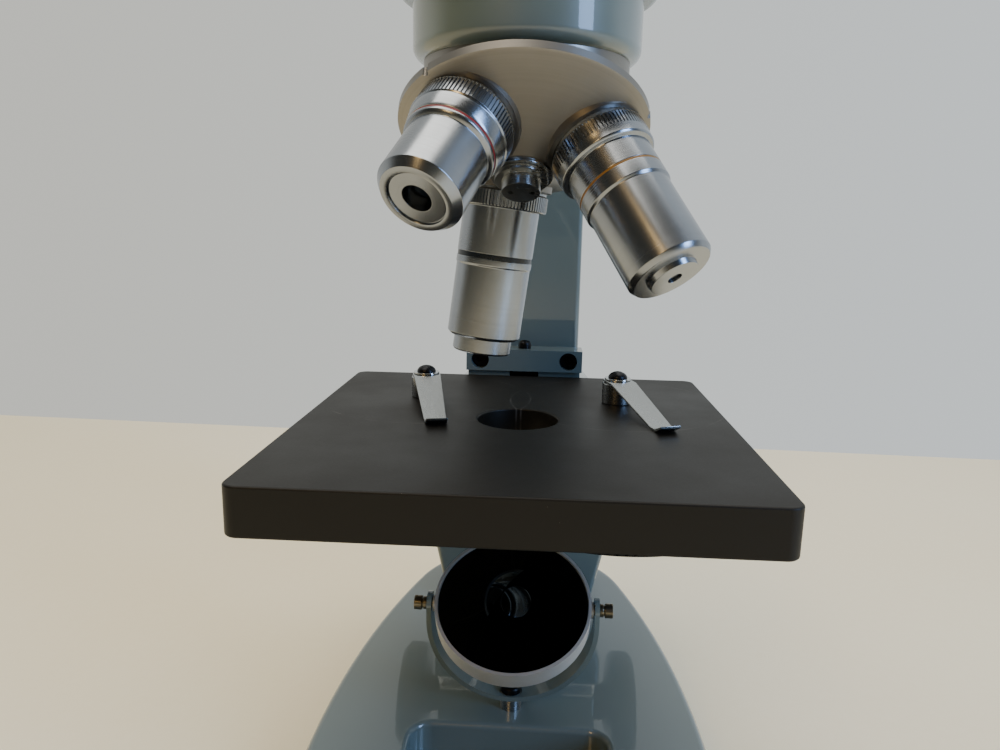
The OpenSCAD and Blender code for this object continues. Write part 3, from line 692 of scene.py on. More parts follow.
# Matt black stoved paint on a machined plate: brownish, chalky, with dust and clip arcs.
STAGE = StageBlack("matt black stove paint", Grain.BLASTED, "#110F0A", "#17140F", roughness=0.47,
                   spread=0.06, grain_mm=0.5, bump_mm=0.01, drift_mm=26, ior=1.34,
                   speck="#8C887F", speck_mm=4.2, speck_size=0.022)

SLOT_FINISH: dict[str, Finish] = {
    "base_enamel": ENAMEL, "arm_enamel": ENAMEL, "stage_black": STAGE, "satin_alloy": ALLOY,
    "nickel": NICKEL, "steel": STEEL, "black_steel": BLACK_STEEL, "bronze": BRONZE,
    "rubber": RUBBER, "cover_black": COVER, "knob_plastic": PHENOLIC, "clip_steel": SPRING,
    "tube_chrome": CHROME, "mirror_glass": MIRROR_PAINTED_DARK, "lens_glass": LENS, "ring_red": RED,
    "ring_yellow": OCHRE, "ring_blue": INK, "eyepiece_black": ANODISED,
}


# ---------------------------------------------------------------- sub-assemblies


class Assembly:
    """A sub-assembly: build() models its pieces and hands them to the frame."""

    def build(self) -> None:
        """Models and delivers every piece."""
        raise NotImplementedError


@dataclass
class Base(Assembly):
    """The oval base casting with its lamp pocket, and the rubber feet."""

    side_radius: float = 352
    side_y: float = -20
    front_y: float = -60.7
    rear_y: float = 72
    half_width: float = 57
    bottom: float = 3
    top: float = 24
    rim: float = 2.4
    pocket: tuple[float, float, float, float] = (-28.5, -72, 28.5, -10)
    pocket_floor: float = 10
    pocket_corner: float = 6
    pocket_rim: float = 1.7
    feet: tuple[Point, ...] = ((-38, -72), (38, -72), (-31, 74), (31, 74))

    def outline(self) -> list[Point]:
        """The plan outline: two long side arcs closed by a front and a rear arc."""
        centre = self.side_radius - self.half_width

        def cap(y: float) -> float:
            return self.side_radius - math.hypot(centre, y - self.side_y)

        front = math.degrees(math.atan2(self.front_y - self.side_y, centre))
        rear = math.degrees(math.atan2(self.rear_y - self.side_y, centre))
        right = arc(0, self.front_y, cap(self.front_y), -90, front, 26)
        right += arc(-centre, self.side_y, self.side_radius, front + 1.6, rear - 1.6, 14)
        right += arc(0, self.rear_y, cap(self.rear_y), rear, 90, 24)
        return right + [(-x, y) for x, y in reversed(right[1:-1])]

    def pocket_tool(self) -> Workpiece:
        """The rounded block that leaves the lamp pocket."""
        x0, y0, x1, y1 = self.pocket
        r = self.pocket_corner
        corners = ((x1 - r, y0 + r, -90), (x1 - r, y1 - r, 0), (x0 + r, y1 - r, 90), (x0 + r, y0 + r, 180))
        points = [p for cx, cy, a in corners for p in arc(cx, cy, r, a, a + 90, 8)]
        work = Workpiece.prism("pocket", [(x, y, self.pocket_floor) for x, y in points],
                               (0, 0, self.top - self.pocket_floor + 5))
        work.pick(Pick.EDGES, lambda a, b: a.z < self.pocket_floor + 1 and b.z < self.pocket_floor + 1)
        bpy.ops.mesh.bevel(offset=3 * MM, segments=5, affect="EDGES")
        return work

    def build(self) -> None:
        """Models the casting and the feet."""
        body = Workpiece.prism("base_body", [(x, y, self.bottom) for x, y in self.outline()],
                               (0, 0, self.top - self.bottom))
        body.soften(self.rim, 5, 60, clamp=False)
        body.pick(Pick.FACES, lambda c, n: n.z < -0.9)
        bpy.ops.mesh.inset(thickness=1.7 * MM, depth=0)
        bpy.ops.mesh.extrude_region_move(TRANSFORM_OT_translate={"value": (0, 0, 1.7 * MM)})
        body.cut(self.pocket_tool())
        x0, y0, x1, y1 = self.pocket
        body.pick(Pick.EDGES, lambda a, b: min(a.z, b.z) > self.top - 0.05
                  and all(x0 - 0.2 < p.x < x1 + 0.2 and y0 - 0.2 < p.y < y1 + 0.2 for p in (a, b)))
        bpy.ops.mesh.bevel(offset=self.pocket_rim * MM, segments=5, affect="EDGES", clamp_overlap=False)
        body.cut(drill(0, 42, 0, 16.4, 3))
        body.pick(Pick.FACES, lambda c, n: abs(n.z) > 0.99)
        bpy.ops.mesh.quads_convert_to_tris(ngon_method="BEAUTY")
        bpy.ops.object.mode_set(mode="OBJECT")
        body.deliver(["base_casting"], ENAMEL.material())
        profile = [(1.5, 2), (3.5, 2), (3.5, 0), (6.9, 0), (7.5, 0.6), (7.5, 3), (1.5, 3)]
        foot = Workpiece.ring("feet", profile, 48)
        foot.soften(0.25, 2)
        foot.repeated([Matrix.Translation(Vector((x, y, 0)) * MM) for x, y in self.feet])
        foot.deliver(["rubber_feet"], RUBBER.material())


@dataclass
class Arm(Assembly):
    """The cast arm: column, flared foot with the focus housing, and the limb with its ring."""

    column_half: float = 20.3
    housing_half: float = 33
    column_front: float = 81
    back: float = 112
    limb_bottom: float = 224.8
    limb_top: float = 250
    ring_radius: float = 33
    edge: float = 1.9
    slot_top: float = 121.8

    def side(self) -> list[Point]:
        """The arm seen from the side, as Y and Z, run on past the ring at the front."""
        y, z, top = self.column_front, self.limb_bottom, self.limb_top
        return ([(64, 24), (64, 58), (73.5, 70), (73.5, 100), (y, 110)]
                + arc(y - 18, z - 18, 18, 0, 90, 12) + [(-40, z), (-40, top)]
                + arc(self.back - 25, top - 25, 25, 90, 0, 16) + [(self.back, 78), (100, 56), (100, 24)])

    def plan(self) -> list[Point]:
        """The arm seen from above, as X and Y: the ring, the tapering web and the column."""
        w, y = self.column_half, self.column_front
        return (arc(0, 0, self.ring_radius, 22.4, -202.4, 80)
                + [(-w, y), (-w, 130), (w, 130), (w, y)])

    def build(self) -> None:
        """Models the casting, rounds it as a casting is, and then machines its slot and bores.

        The plan and the foot run on past the side view that trims them, so no two faces of
        the joined shapes lie in one plane and the cuts come out the same every time.
        """
        w, h = self.column_half, self.housing_half
        body = Workpiece.prism("arm_body", [(x, y, 10) for x, y in self.plan()], (0, 0, 260))
        half = [(25.3, 14), (h, 49), (h, 98), (w - 1.8, 114)]
        front = half + [(-x, z) for x, z in reversed(half)]
        body.weld(Workpiece.prism("foot", [(x, 60, z) for x, z in front], (0, 60, 0)))
        side = [(-40, y, z) for y, z in self.side()]
        body.common(Workpiece.prism("arm_side", side, (80, 0, 0)))
        body.tidy().soften(self.edge, 4, 38, clamp=False)
        body.cut(drill(0, 0, 220, 260, 14))
        body.cut(Workpiece.block("neck", (-5.45, 71, 44), (5.45, 82, self.slot_top)))
        body.cut(Workpiece.block("tail", (-8.9, 81.9, 44.3), (8.9, 85.4, self.slot_top - 0.3)))
        body.cut(Workpiece.block("gear_room", (-6, 84, 44.6), (6, 101, self.slot_top - 0.6)))
        bore = [(0, -40), (7, -40), (7, 40), (0, 40)]
        body.cut(Workpiece.turned("bore", bore, 48).place(
            Matrix.Translation(SHAFT) @ Matrix.Rotation(math.pi / 2, 4, "Y")))
        body.deliver(["arm_casting"], ENAMEL.material())
        bush = Workpiece.ring("bushes", [(4.05, 22), (7, 22), (7, 33.5), (4.05, 33.5)], 64)
        bush.soften(0.3, 2)
        at = Matrix.Translation(SHAFT)
        bush.repeated([at @ Matrix.Rotation(s * math.pi / 2, 4, "Y") for s in (1, -1)])
        along = at @ Matrix.Rotation(math.pi / 2, 4, "Y")
        bush.deliver(["shaft_bushes"], BRONZE.material(along, "on the shaft"))


@dataclass
class NosepieceSupport(Assembly):
    """The enamelled housing under the limb, the fixed half of the nosepiece and its bolt."""

    radius: float = 29.2
    top: float = 227.6
    bottom: float = 209.5

    def build(self) -> None:
        """Models the housing, the wedge, the bolt and the washer."""
        z0, z1, r = self.bottom, self.top, self.radius
        body = Workpiece.ring("nosepiece_drum", [(14, z0), (r, z0), (r, z1), (14, z1)], 128)
        body.pick(Pick.EDGES, lambda a, b: (max(a.z, b.z) < z0 + 0.1
                                            and min(a.xy.length, b.xy.length) > r - 0.2))
        bpy.ops.mesh.bevel(offset=3.2 * MM, segments=7, affect="EDGES")
        body.deliver(["nosepiece_housing"], ENAMEL.material())
        wedge = Workpiece.copied("nosepiece_wedge", "nosepiece_base").soften(0.35, 2, 40)
        wedge.deliver(["nosepiece_base"], NICKEL.material(TURRET_PLACE, "on the turret"))
        bolt = Workpiece.turned("turret_bolt_head", [
            (0, -16.6), (4, -16.6), (4, -42.4), (6.5, -42.4), (6.5, -43.6), (4.7, -43.6),
            (4.7, -46.6), (0, -46.6)], 64).soften(0.2, 2)
        for side in (-1, 1):
            bolt.cut(drill(2.6 * side, 0, -48, -45, 0.7))
        bolt.place(TURRET_PLACE)
        bolt.deliver(["turret_bolt"], STEEL.material(TURRET_PLACE, "on the turret"))
        washer = Workpiece.ring("turret_washer_ring",
                                [(4, -42.4), (7.6, -42.4), (7.6, -41.7), (4, -41.7)], 64)
        washer.soften(0.12, 2).place(TURRET_PLACE)
        washer.deliver(["turret_washer"], STEEL.material(TURRET_PLACE, "on the turret"))
        spring = Workpiece.copied("click_leaf", "click_spring").soften(0.12, 2, 40)
        spring.deliver(["click_spring"], SPRING.material())


@dataclass
class Turret(Assembly):
    """The turning half of the nosepiece and its three objectives."""

    rim_radius: float = 30.7
    rim_drop: float = 28.1
    seat: float = 40
    seat_radius: float = 12.6
    thread_radius: float = 10.16
    tilt: float = 26.6
    knurl_steps: int = 168

    def cone(self, r: float) -> float:
        """How far below the apex the seat cone lies at a radius from the turret's axis."""
        a = math.radians(self.tilt)
        return self.seat * math.cos(a) - (r - self.seat * math.sin(a)) * math.tan(a)

    def shell(self) -> None:
        """Models the shell: a spun cone with a bright rim, three seats and click notches."""
        r, s, c = self.rim_radius, self.rim_drop, self.cone
        inner = 3.6
        profile = [(27.6, s), (r, s), (r, c(r) + 0.6), (r - 0.5, c(r - 0.5) + 0.7), (7.2, c(7.2)),
                   (7.2, 41.6), (4.06, 41.6), (4.06, 33.4), (9, 33.4), (9.5, c(9.5) - inner),
                   (27.2, c(27.2) - inner + 0.9), (27.6, c(27.6) - 1.9)]
        work = Workpiece.ring("turret_cone", [(x, -d) for x, d in profile], 160)
        inverse = TURRET_PLACE.inverted()
        for k in range(3):
            seat = Workpiece.turned("seat", [(0, -self.seat), (self.seat_radius, -self.seat),
                                             (self.seat_radius, -self.seat + 3.2), (0, -self.seat + 3.2)], 96)
            work.weld(seat.place(inverse @ objective_place(k)))
        work.soften(0.4, 3, 24)
        for k in range(3):
            bore = Workpiece.turned("bore", [(0, -60), (self.thread_radius, -60),
                                             (self.thread_radius, -28), (0, -28)], 64)
            work.cut(bore.place(inverse @ objective_place(k)))
        for k in range(3):
            way = inverse.to_3x3() @ (objective_place(k).to_3x3() @ Vector((0, 0, -1)))
            angle = math.atan2(way.y, way.x)
            x, y = (r + 0.25) * math.cos(angle), (r + 0.25) * math.sin(angle)
            work.cut(drill(x, y, -32, -25, 0.9))
        work.place(TURRET_PLACE)
        work.deliver(["turret_shell"], NICKEL.material(TURRET_PLACE, "on the turret"))

    def lathe(self, name: str, nodes: Sequence[str], index: int, profile: Sequence[Point],
              finish: Finish, bevel: float = 0.18, knurls: Sequence[Point] = ()) -> None:
        """Turns one piece of an objective and delivers it.

        Args:
            name: the piece's name.
            nodes: the CAD nodes that it stands for.
            index: which objective.
            profile: pairs of radius and distance below the apex.
            finish: its finish.
            bevel: how far its edges are broken.
            knurls: pairs of distances between which the collar is knurled.
        """
        steps = self.knurl_steps if knurls else 96
        work = Workpiece.ring(name, [(r, -t) for r, t in profile], steps).soften(bevel, 2, 24)
        for t0, t1 in knurls:
            work.knurl(12, -t1, -t0, 0.38, steps, 0.11)
        work.place(objective_place(index))
        work.deliver(nodes, finish.material(objective_place(index), f"on objective {index}"))

    def lens(self, node: str, index: int, radius: float, low: float, high: float) -> None:
        """Models a domed front lens in its cell."""
        dome = [(radius * math.cos(a), -high - 0.25 * radius * math.sin(a))
                for a in (0, 0.35, 0.7, 1.05, 1.4)] + [(0, -high - 0.25 * radius)]
        work = Workpiece.turned(node + "_glass", [(0, -low), (radius, -low), *dome], 48)
        work.place(objective_place(index))
        work.deliver([node], LENS.material())

    def build(self) -> None:
        """Models the shell and all three objectives."""
        self.shell()
        t = self.thread_radius
        collar = [(t, 36), (t, 40), (11.4, 40), (11.4, 41), (12, 41.3)]
        knurl = [(41.25, 46.1)]
        self.lathe("objective_4x_body", ["objective_4x_barrel"], 2, [
            (8.2, 36), *collar, (12, 46), (11.7, 46.4), (11.6, 47.6), (11.2, 49.3), (11.0, 50.1),
            (9.6, 50.1), (9.6, 50.6), (10.9, 50.6), (10.8, 51.3), (10.3, 51.9), (9.9, 52.1), (9.9, 66),
            (8.4, 67.87),
            (6.8, 67.87), (6.8, 67.1), (6.5, 67.1), (6.5, 67.45), (3.4, 67.45), (3.4, 60), (8.2, 58)],
            ALLOY, 0.12, knurl)
        self.lathe("objective_4x_band", ["objective_4x_ring"], 2, [
            (9.6, 50.1), (10.85, 50.1), (10.85, 50.6), (9.6, 50.6)], RED, 0.06)
        self.lens("objective_4x_lens", 2, 3.4, 61.5, 63)
        self.lathe("objective_10x_body", ["objective_10x_barrel"], 1, [
            (7, 36), *collar, (12, 44.9), (11.8, 45.4), (11.8, 47), (11.4, 47.5), (10.5, 47.7),
            (10.5, 53.6), (9.6, 53.6), (9.6, 54.1), (10.5, 54.1), (10.5, 57.6), (10, 58.1),
            (10, 77.2), (9.2, 78.4), (5.9, 78.4), (5.7, 79.73), (1.6, 79.73), (1.6, 70), (7, 66)],
            ALLOY, 0.15, [(41.25, 44.95)])
        self.lathe("objective_10x_band", ["objective_10x_ring"], 1, [
            (9.6, 53.6), (10.42, 53.6), (10.42, 54.1), (9.6, 54.1)], OCHRE, 0.06)
        self.lens("objective_10x_lens", 1, 1.6, 76.2, 78.8)
        self.lathe("objective_40x_body", ["objective_40x_barrel"], 0, [
            (8.08, 36), *collar, (12, 45.2), (11.6, 45.5), (10.2, 45.5), (10.2, 57.6), (9.4, 57.6),
            (9.4, 58.8), (10.2, 58.8), (10.2, 60.5), (10, 60.9), (10, 79.4), (9.1, 80.2),
            (8.08, 80.2)], ALLOY, 0.15, [(41.25, 45.25)])
        self.lathe("objective_40x_band", ["objective_40x_ring"], 0, [
            (9.4, 57.6), (10.05, 57.6), (10.05, 58.8), (9.4, 58.8)], INK, 0.08)
        self.lathe("objective_40x_tip", ["objective_40x_nose"], 0, [
            (5.5, 66), (8, 66), (8, 83.9), (7.6, 84.35), (3, 84.67), (1.2, 84.67), (1.2, 80),
            (5.5, 78)], ALLOY, 0.12)
        self.lens("objective_40x_lens", 0, 1.2, 81.2, 83.9)


@dataclass
class Substage(Assembly):
    """The mirror in its frame and fork, on a post in the base."""

    tilt: float = 30
    frame_radius: float = 23.3
    post_bottom: float = 16
    fork_bottom: float = 27.7

    def build(self) -> None:
        """Models the post, the fork, its screws, the frame and both mirrors."""
        z = self.fork_bottom
        low = self.post_bottom
        post = Workpiece.turned("post", [(0, low), (3.25, low), (3.25, z), (0, z)], 64)
        post.soften(0.4, 3)
        post.deliver(["mirror_post"], STEEL.material())
        head = Workpiece.turned("fork_screw_head", [(0, 20), (1.5, 20), (1.5, z + 1.6), (3.1, z + 1.6),
                                                    (3.1, z + 3.1), (2.6, z + 3.7), (0, z + 3.7)], 48)
        head.soften(0.15, 2)
        head.cut(Workpiece.block("slot", (-4, -0.4, z + 2.7), (4, 0.4, z + 6)))
        head.deliver(["fork_screw"], BLACK_STEEL.material())
        fork = Workpiece.copied("fork_strip", "mirror_fork").soften(0.28, 2, 40)
        fork.deliver(["mirror_fork"], ENAMEL.material())
        screw = Workpiece.turned("pivots", [
            (0, 23.2), (1.5, 23.2), (1.5, 25.6), (1.9, 25.6), (1.9, 26.9),
            (1.5, 26.9), (1.5, 27.3), (2.1, 27.3), (2.1, 29.6), (0, 29.6)], 40)
        screw.soften(0.15, 2)
        screw.cut(Workpiece.block("slot", (-3, -0.35, 28.7), (3, 0.35, 31)))
        at = Matrix.Translation(MIRROR_PIVOT)
        screw.repeated([at @ Matrix.Rotation(s * math.pi / 2, 4, "Y") for s in (1, -1)])
        along = at @ Matrix.Rotation(math.pi / 2, 4, "Y")
        screw.deliver(["pivot_screws"], PASSIVATED.material(along, "on the pivots"))
        place = at @ Matrix.Rotation(math.radians(self.tilt), 4, "X")
        r = self.frame_radius
        rim = Workpiece.ring("mirror_ring", [(r, -3.2), (r, 3.2), (r - 0.9, 3.2), (r - 0.9, 0.4), (20, 0.4),
                                             (20, -0.4), (r - 0.9, -0.4), (r - 0.9, -3.2)], 128)
        for side in (-1, 1):
            boss = Workpiece.turned("boss", [(0, 22.9), (2.4, 22.9), (2.4, 23.9), (0, 23.9)], 40)
            rim.weld(boss.place(Matrix.Rotation(side * math.pi / 2, 4, "Y")))
        rim.soften(0.28, 3, 40)
        for side in (-1, 1):
            hole = Workpiece.turned("hole", [(0, 20), (1.56, 20), (1.56, 30), (0, 30)], 40)
            rim.cut(hole.place(Matrix.Rotation(side * math.pi / 2, 4, "Y")))
        rim.place(place)
        rim.deliver(["mirror_frame"], BLASTED.material(place, "on the mirror"))
        # Both mirrors take the mirror finish whose dark colour is painted shade.
        flat = Workpiece.turned("flat_mirror", [(0, 0.4), (22.3, 0.4), (22.3, 2.6), (0, 2.6)], 96)
        flat.soften(0.25, 2).place(place)
        flat.deliver(["plane_mirror"], MIRROR_PAINTED_DARK.material())
        bowl = [(x, -142.1 + math.sqrt(140 ** 2 - x * x)) for x in (0, 4, 8, 12, 16, 20, 22.3)]
        dish = Workpiece.turned("curved_mirror", [*bowl, (22.3, -0.4), (0, -0.4)], 96)
        dish.place(place)
        dish.deliver(["concave_mirror"], MIRROR_PAINTED_DARK.material())


@dataclass
class Stage(Assembly):
    """The stage plate, its clips and the diaphragm disc below it."""

    half: float = 60.25
    front: float = -62.5
    rear: float = 61
    corner: float = 3.5
    edge: float = 0.55
    aperture: float = 11.4
    post: float = 6.5
    pivots: tuple[Point, ...] = ((-29.8, 24.3), (30.0, 23.2))
    turns: tuple[float, ...] = (13.2, 17.6)
    disc_radius: float = 37.2
    disc_holes: tuple[float, ...] = (5.4, 4.3, 3.3, 2.3, 1.4)

    def plate(self) -> None:
        """Models the plate."""
        plate = Workpiece.block("stage_top", (-self.half, self.front, STAGE_BOTTOM),
                                (self.half, self.rear, STAGE_TOP))
        plate.pick(Pick.EDGES, lambda a, b: abs(a.z - b.z) > 5)
        bpy.ops.mesh.bevel(offset=self.corner * MM, segments=10, affect="EDGES")
        bpy.ops.object.mode_set(mode="OBJECT")
        hole = self.aperture
        plate.cut(Workpiece.turned("aperture", [(0, 90), (hole, 90), (hole, 130), (0, 130)], 96))
        plate.soften(self.edge, 3, 50, clamp=False)
        plate.deliver(["stage_plate"], STAGE.material())

    def at_pivots(self, height: float) -> list[Matrix]:
        """The clip pivots, at a height above the stage, each turned as its clip is."""
        return [Matrix.Translation(Vector((x, y, STAGE_TOP + height)) * MM)
                @ Matrix.Rotation(math.radians(a), 4, "Z")
                for (x, y), a in zip(self.pivots, self.turns)]

    def clips(self) -> None:
        """Models the posts, washers, screws and leaves of both clips."""
        h = self.post
        post = Workpiece.ring("posts", [(1.5, 0), (4.6, 0), (4.6, h), (1.5, h)], 64).soften(0.35, 3)
        post.repeated(self.at_pivots(0))
        post.deliver(["clip_posts"], STEEL.material())
        washer = Workpiece.ring("washers", [(1.5, 0), (4, 0), (4, 0.6), (1.5, 0.6)], 48).soften(0.15, 2)
        washer.repeated(self.at_pivots(h + 0.9))
        washer.deliver(["clip_washers"], CHROME.material())
        dome = [(2.96 * math.cos(a), h + 1.5 + 2.0 * math.sin(a)) for a in (0, 0.25, 0.5, 0.8, 1.1, 1.35)]
        screw = Workpiece.turned("clip_screw_heads",
                                 [(0, 2), (1.5, 2), (1.5, h + 1.5), *dome, (0, h + 3.5)], 48)
        screw.cut(Workpiece.block("slot", (-4, -0.4, h + 2.6), (4, 0.4, h + 6)))
        screw.soften(0.1, 2, 50)
        screw.repeated(self.at_pivots(0))
        screw.deliver(["clip_screws"], BLACK_STEEL.material())
        for side, place in zip(("left", "right"), self.at_pivots(0)):
            leaf = Workpiece.copied(f"leaf_{side}", f"clip_leaf_{side}").soften(0.16, 2, 40)
            leaf.deliver([f"clip_leaf_{side}"], SPRING.material(place, side))

    def disc(self) -> None:
        """Models the diaphragm disc with its milled rim."""
        r, place = self.disc_radius, Matrix.Translation(DISC_CENTRE)
        disc = Workpiece.ring("diaphragm_wheel", [(2.06, -1), (r, -1), (r, 1), (2.06, 1)], 240).soften(0.2, 2)
        disc.knurl(r, -0.85, 0.85, 0.35, 240, 0.2)
        reach = math.hypot(DISC_CENTRE.x, DISC_CENTRE.y) / MM
        start = math.atan2(-DISC_CENTRE.y, -DISC_CENTRE.x)
        for i, hole in enumerate(self.disc_holes):
            a = start + math.radians(72 * i)
            disc.cut(drill(reach * math.cos(a), reach * math.sin(a), -3, 3, hole))
        disc.place(place)
        disc.deliver(["diaphragm_disc"], BLACK_STEEL.material())

    def build(self) -> None:
        """Models the whole stage."""
        self.plate()
        self.clips()
        self.disc()


@dataclass
class Focus(Assembly):
    """The focus knobs and the bracket and slide that they move."""

    knob_radius: float = 22
    knob_in: float = 39.5
    knob_out: float = 51

    def build(self) -> None:
        """Models the knobs, bracket, slide and stop screw."""
        r, x0, x1 = self.knob_radius, self.knob_in, self.knob_out
        for side, sign in (("left", -1), ("right", 1)):
            knob = Workpiece.turned(f"knob_{side}", [
                (0, 34.2), (7.5, 34.2), (8.5, 38), (15, x0), (r - 1.5, x0 + 0.6), (r, x0 + 2.2),
                (r, x1 - 2.6), (r - 2.4, x1 - 0.3), (16, x1), (15, x1 - 0.8), (6, x1 - 0.8), (5, x1),
                (0, x1)], 144)
            knob.soften(0.5, 3, 20)
            knob.knurl(r, x0 + 2, x1 - 2.4, 0.6, 144, 0.2)
            place = Matrix.Translation(SHAFT) @ Matrix.Rotation(sign * math.pi / 2, 4, "Y")
            knob.place(place)
            knob.deliver([f"focus_knob_{side}"], PHENOLIC.material(place, side))
        bracket = Workpiece.copied("bracket", "stage_bracket").soften(0.7, 3, 50)
        bracket.deliver(["stage_bracket"], ENAMEL.material())
        slide = Workpiece.copied("slide", "dovetail_slide").soften(0.2, 2, 40)
        slide.deliver(["dovetail_slide"], BLACK_STEEL.material())
        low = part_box("stop_screw")[0] / MM
        z = low.z
        dome = [(2.3 * math.cos(a), z + 7.9 + 1.4 * math.sin(a)) for a in (0, 0.3, 0.6, 0.9, 1.25)]
        stop = Workpiece.turned("stop_head", [(0, z), (1.2, z), (1.2, z + 6.3), (2.3, z + 6.3), *dome,
                                              (0, z + 9.3)], 40)
        stop.soften(0.12, 2, 40)
        stop.place(Matrix.Translation(Vector((0, low.y + 2.3, 0)) * MM))
        stop.deliver(["stop_screw"], BLACK_STEEL.material())


@dataclass
class Head(Assembly):
    """The inclined head with its ring, lock screw, tube and eyepiece."""

    seat: float = 66
    ring_bottom: float = 250
    ring_top: float = 257

    def build(self) -> None:
        """Models every piece above the limb."""
        z0, z1 = self.ring_bottom, self.ring_top
        ring = Workpiece.ring("head_collar", [(14, z0), (27, z0), (27, z1), (20.06, z1), (20.06, z0 + 1.5),
                                              (14, z0 + 1.5)], 128).soften(0.5, 3)
        ring.deliver(["head_ring"], ANODISED.material())
        lock = Workpiece.turned("lock_knob", [(0, 20.6), (1.5, 20.6), (1.5, 33.6), (3.2, 33.6), (4.6, 35),
                                              (4.6, 42), (0, 42)], 48).soften(0.4, 3)
        lock.knurl(4.6, 35.2, 41.8, 0.25, 48, 0.1)
        place = Matrix.Translation((0, 0, (z0 + 4) * MM)) @ Matrix.Rotation(math.pi / 2, 4, "Y")
        lock.place(place)
        lock.deliver(["lock_screw"], PHENOLIC.material(place, "on the lock"))
        shell = Workpiece.copied("prism_case", "prism_housing").soften(0.9, 3, 40)
        shell.deliver(["prism_housing"], ENAMEL.material())
        s = self.seat
        tube = Workpiece.ring("draw_tube", [(11.65, 14), (13, 14), (13, s), (11.65, s)], 96).soften(0.2, 2)
        tube.place(TUBE_PLACE)
        tube.deliver(["eyepiece_tube"], CHROME.material())
        body = Workpiece.ring("eyepiece_shell", [
            (9.6, s - 32), (11.6, s - 32), (11.6, s + 0.1), (14, s + 0.1), (14, s + 14.5), (12.6, s + 18),
            (9.2, s + 18), (9.2, s + 16.6), (8, s + 15.4), (8, s + 10), (9.6, s + 8)], 120)
        body.soften(0.35, 3, 24)
        body.knurl(14, s + 0.4, s + 14.2, 0.3, 120, 0.12)
        body.place(TUBE_PLACE)
        body.deliver(["eyepiece_body"], ANODISED.material(TUBE_PLACE, "on the tube"))
        for node, r, low, high in (("eye_lens", 8, s + 11, s + 14.4), ("field_lens", 9.6, s - 29, s - 25.6)):
            glass = Workpiece.turned(node + "_glass", [
                (0, low), (r, low), (r, high - 0.9), (r * 0.7, high - 0.4),
                (r * 0.35, high - 0.1), (0, high)], 64)
            glass.place(TUBE_PLACE)
            glass.deliver([node], LENS.material())


def dress_kept_nodes() -> None:
    """Gives every CAD node that still shows the finish of its slot."""
    for name, obj in frame["nodes"].items():
        if obj.hide_render:
            continue
        finish = SLOT_FINISH[SLOT_OF[name]]
        obj.data.materials.clear()
        obj.data.materials.append(finish.material())
        log.info("%s keeps its CAD mesh, %s", name, finish.name)


# ---------------------------------------------------------------- floor, light and camera


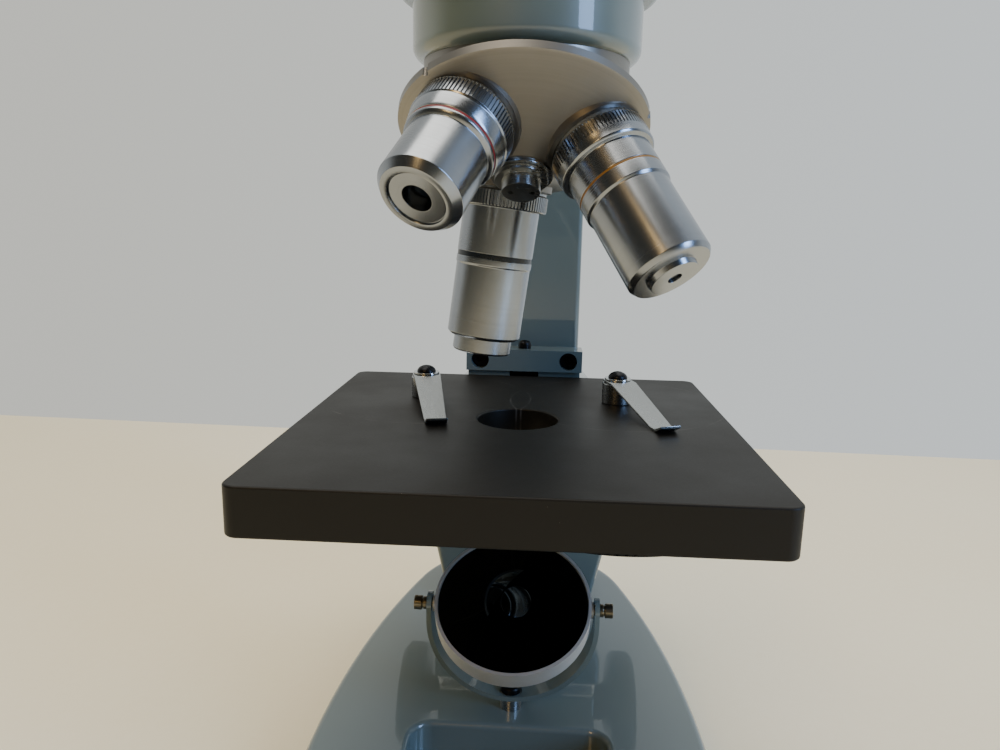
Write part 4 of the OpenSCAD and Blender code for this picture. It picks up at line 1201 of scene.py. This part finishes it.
@dataclass
class Studio:
    """A pale table top, soft lamps and the camera."""

    camera_at: tuple[float, float, float] = (5.9, -206.3, 169.7)
    yaw: float = -3.1
    pitch: float = 11.51
    roll: float = 1.13
    lens_mm: float = 27.036
    sensor_mm: float = 36
    wall_left: str = "#D3D3CC"
    wall_right: str = "#DCE3E6"
    room: str = "#3C3D38"
    world_power: float = 1.05
    table_left: tuple[float, float] = (-453, 390)
    table_right: tuple[float, float] = (357, 361)

    def camera(self) -> None:
        """Sets the camera from its place, its turn and its focal length."""
        data = bpy.data.cameras.new("camera")
        data.sensor_width = self.sensor_mm
        data.lens = self.lens_mm
        data.clip_start, data.clip_end = 0.01, 50
        yaw, pitch, roll = (math.radians(a) for a in (self.yaw, self.pitch, self.roll))
        ahead = Vector((math.sin(yaw) * math.cos(pitch), math.cos(yaw) * math.cos(pitch), -math.sin(pitch)))
        side = Vector((math.cos(yaw), -math.sin(yaw), 0))
        down = ahead.cross(side)
        right = math.cos(roll) * side - math.sin(roll) * down
        below = math.sin(roll) * side + math.cos(roll) * down
        turn = Matrix((right, -below, -ahead)).transposed().to_4x4()
        camera = bpy.data.objects.new("camera", data)
        camera.matrix_world = Matrix.Translation(Vector(self.camera_at) * MM) @ turn
        bpy.context.scene.collection.objects.link(camera)
        bpy.context.scene.camera = camera

    def table(self) -> None:
        """A pale table top whose far edge meets the wall's tone."""
        left, right = Vector(self.table_left), Vector(self.table_right)
        way = (right - left).normalized()
        far_l, far_r = left - way * 6000, right + way * 6000
        points = [(far_l.x, far_l.y, 0), (far_r.x, far_r.y, 0), (far_r.x, far_r.y - 9000, 0),
                  (far_l.x, far_l.y - 9000, 0)]
        work = Workpiece.prism("table_top", points, (0, 0, -20))
        top = Finish("painted table top", Grain.SPRAYED, "#FFF4D6", "#FBEECD", roughness=0.6,
                     grain_mm=4, bump_mm=0.02, drift_mm=220, speck="#CFC8B6", speck_mm=30, speck_size=0.02)
        work.obj.data.materials.append(top.material())

    def lamp(self, name: str, at: Point, size: tuple[float, float], power: float, colour: str,
             target: Point = (0, 0, 0.15)) -> None:
        """A soft rectangular lamp that faces a target.

        Args:
            name: the lamp's name.
            at: its place in metres.
            size: its width and height in metres.
            power: its power in watts.
            colour: its colour as sRGB hex.
            target: what it faces.
        """
        data = bpy.data.lights.new(name, "AREA")
        data.shape = "RECTANGLE"
        data.size, data.size_y = size
        data.energy = power
        data.color = linear(colour)[:3]
        lamp = bpy.data.objects.new(name, data)
        aim = Vector(target) - Vector(at)
        lamp.matrix_world = Matrix.Translation(at) @ aim.to_track_quat("-Z", "Y").to_matrix().to_4x4()
        bpy.context.scene.collection.objects.link(lamp)

    def build(self) -> None:
        """Sets up the table, world, lamps and camera."""
        world = bpy.data.worlds.new("room")
        bpy.context.scene.world = world
        world.use_nodes = True
        tree = world.node_tree
        tree.nodes.clear()
        way = add(tree, "ShaderNodeTexCoord")
        split = add(tree, "ShaderNodeSeparateXYZ", None, {0: way.outputs["Generated"]})
        across = add(tree, "ShaderNodeMapRange", None, {"Value": split.outputs["X"], 1: -0.55, 2: 0.6})
        wall = add(tree, "ShaderNodeMix", {"data_type": "RGBA"},
                   {0: across.outputs[0], 6: linear(self.wall_left), 7: linear(self.wall_right)})
        ahead = add(tree, "ShaderNodeMapRange", {"interpolation_type": "SMOOTHSTEP"},
                    {"Value": split.outputs["Y"], 1: -0.3, 2: 0.3})
        mix = add(tree, "ShaderNodeMix", {"data_type": "RGBA"},
                  {0: ahead.outputs[0], 6: linear(self.room), 7: wall.outputs[2]})
        glow = add(tree, "ShaderNodeBackground", None, {0: mix.outputs[2], 1: self.world_power})
        add(tree, "ShaderNodeOutputWorld", None, {0: glow.outputs[0]})
        self.table()
        self.lamp("ceiling", (-0.1, 0.1, 1.7), (1.8, 1.2), 23, "#FFF8EA")
        self.lamp("window", (1.0, -0.62, 0.62), (0.34, 0.9), 11, "#A2C8FF")
        self.lamp("lamp", (-0.5, -1.3, 1.1), (0.35, 0.5), 4.5, "#FFD08A")
        self.camera()


def main() -> None:
    """Builds every sub-assembly, dresses the rest and sets the studio."""
    logging.basicConfig(level=logging.INFO, format="%(message)s")
    clear_selection()
    for part in (Base(), Arm(), NosepieceSupport(), Turret(), Substage(), Stage(), Focus(), Head()):
        log.info("-- %s", type(part).__name__)
        part.build()
    dress_kept_nodes()
    Studio().build()


if __name__ == "__main__":
    main()
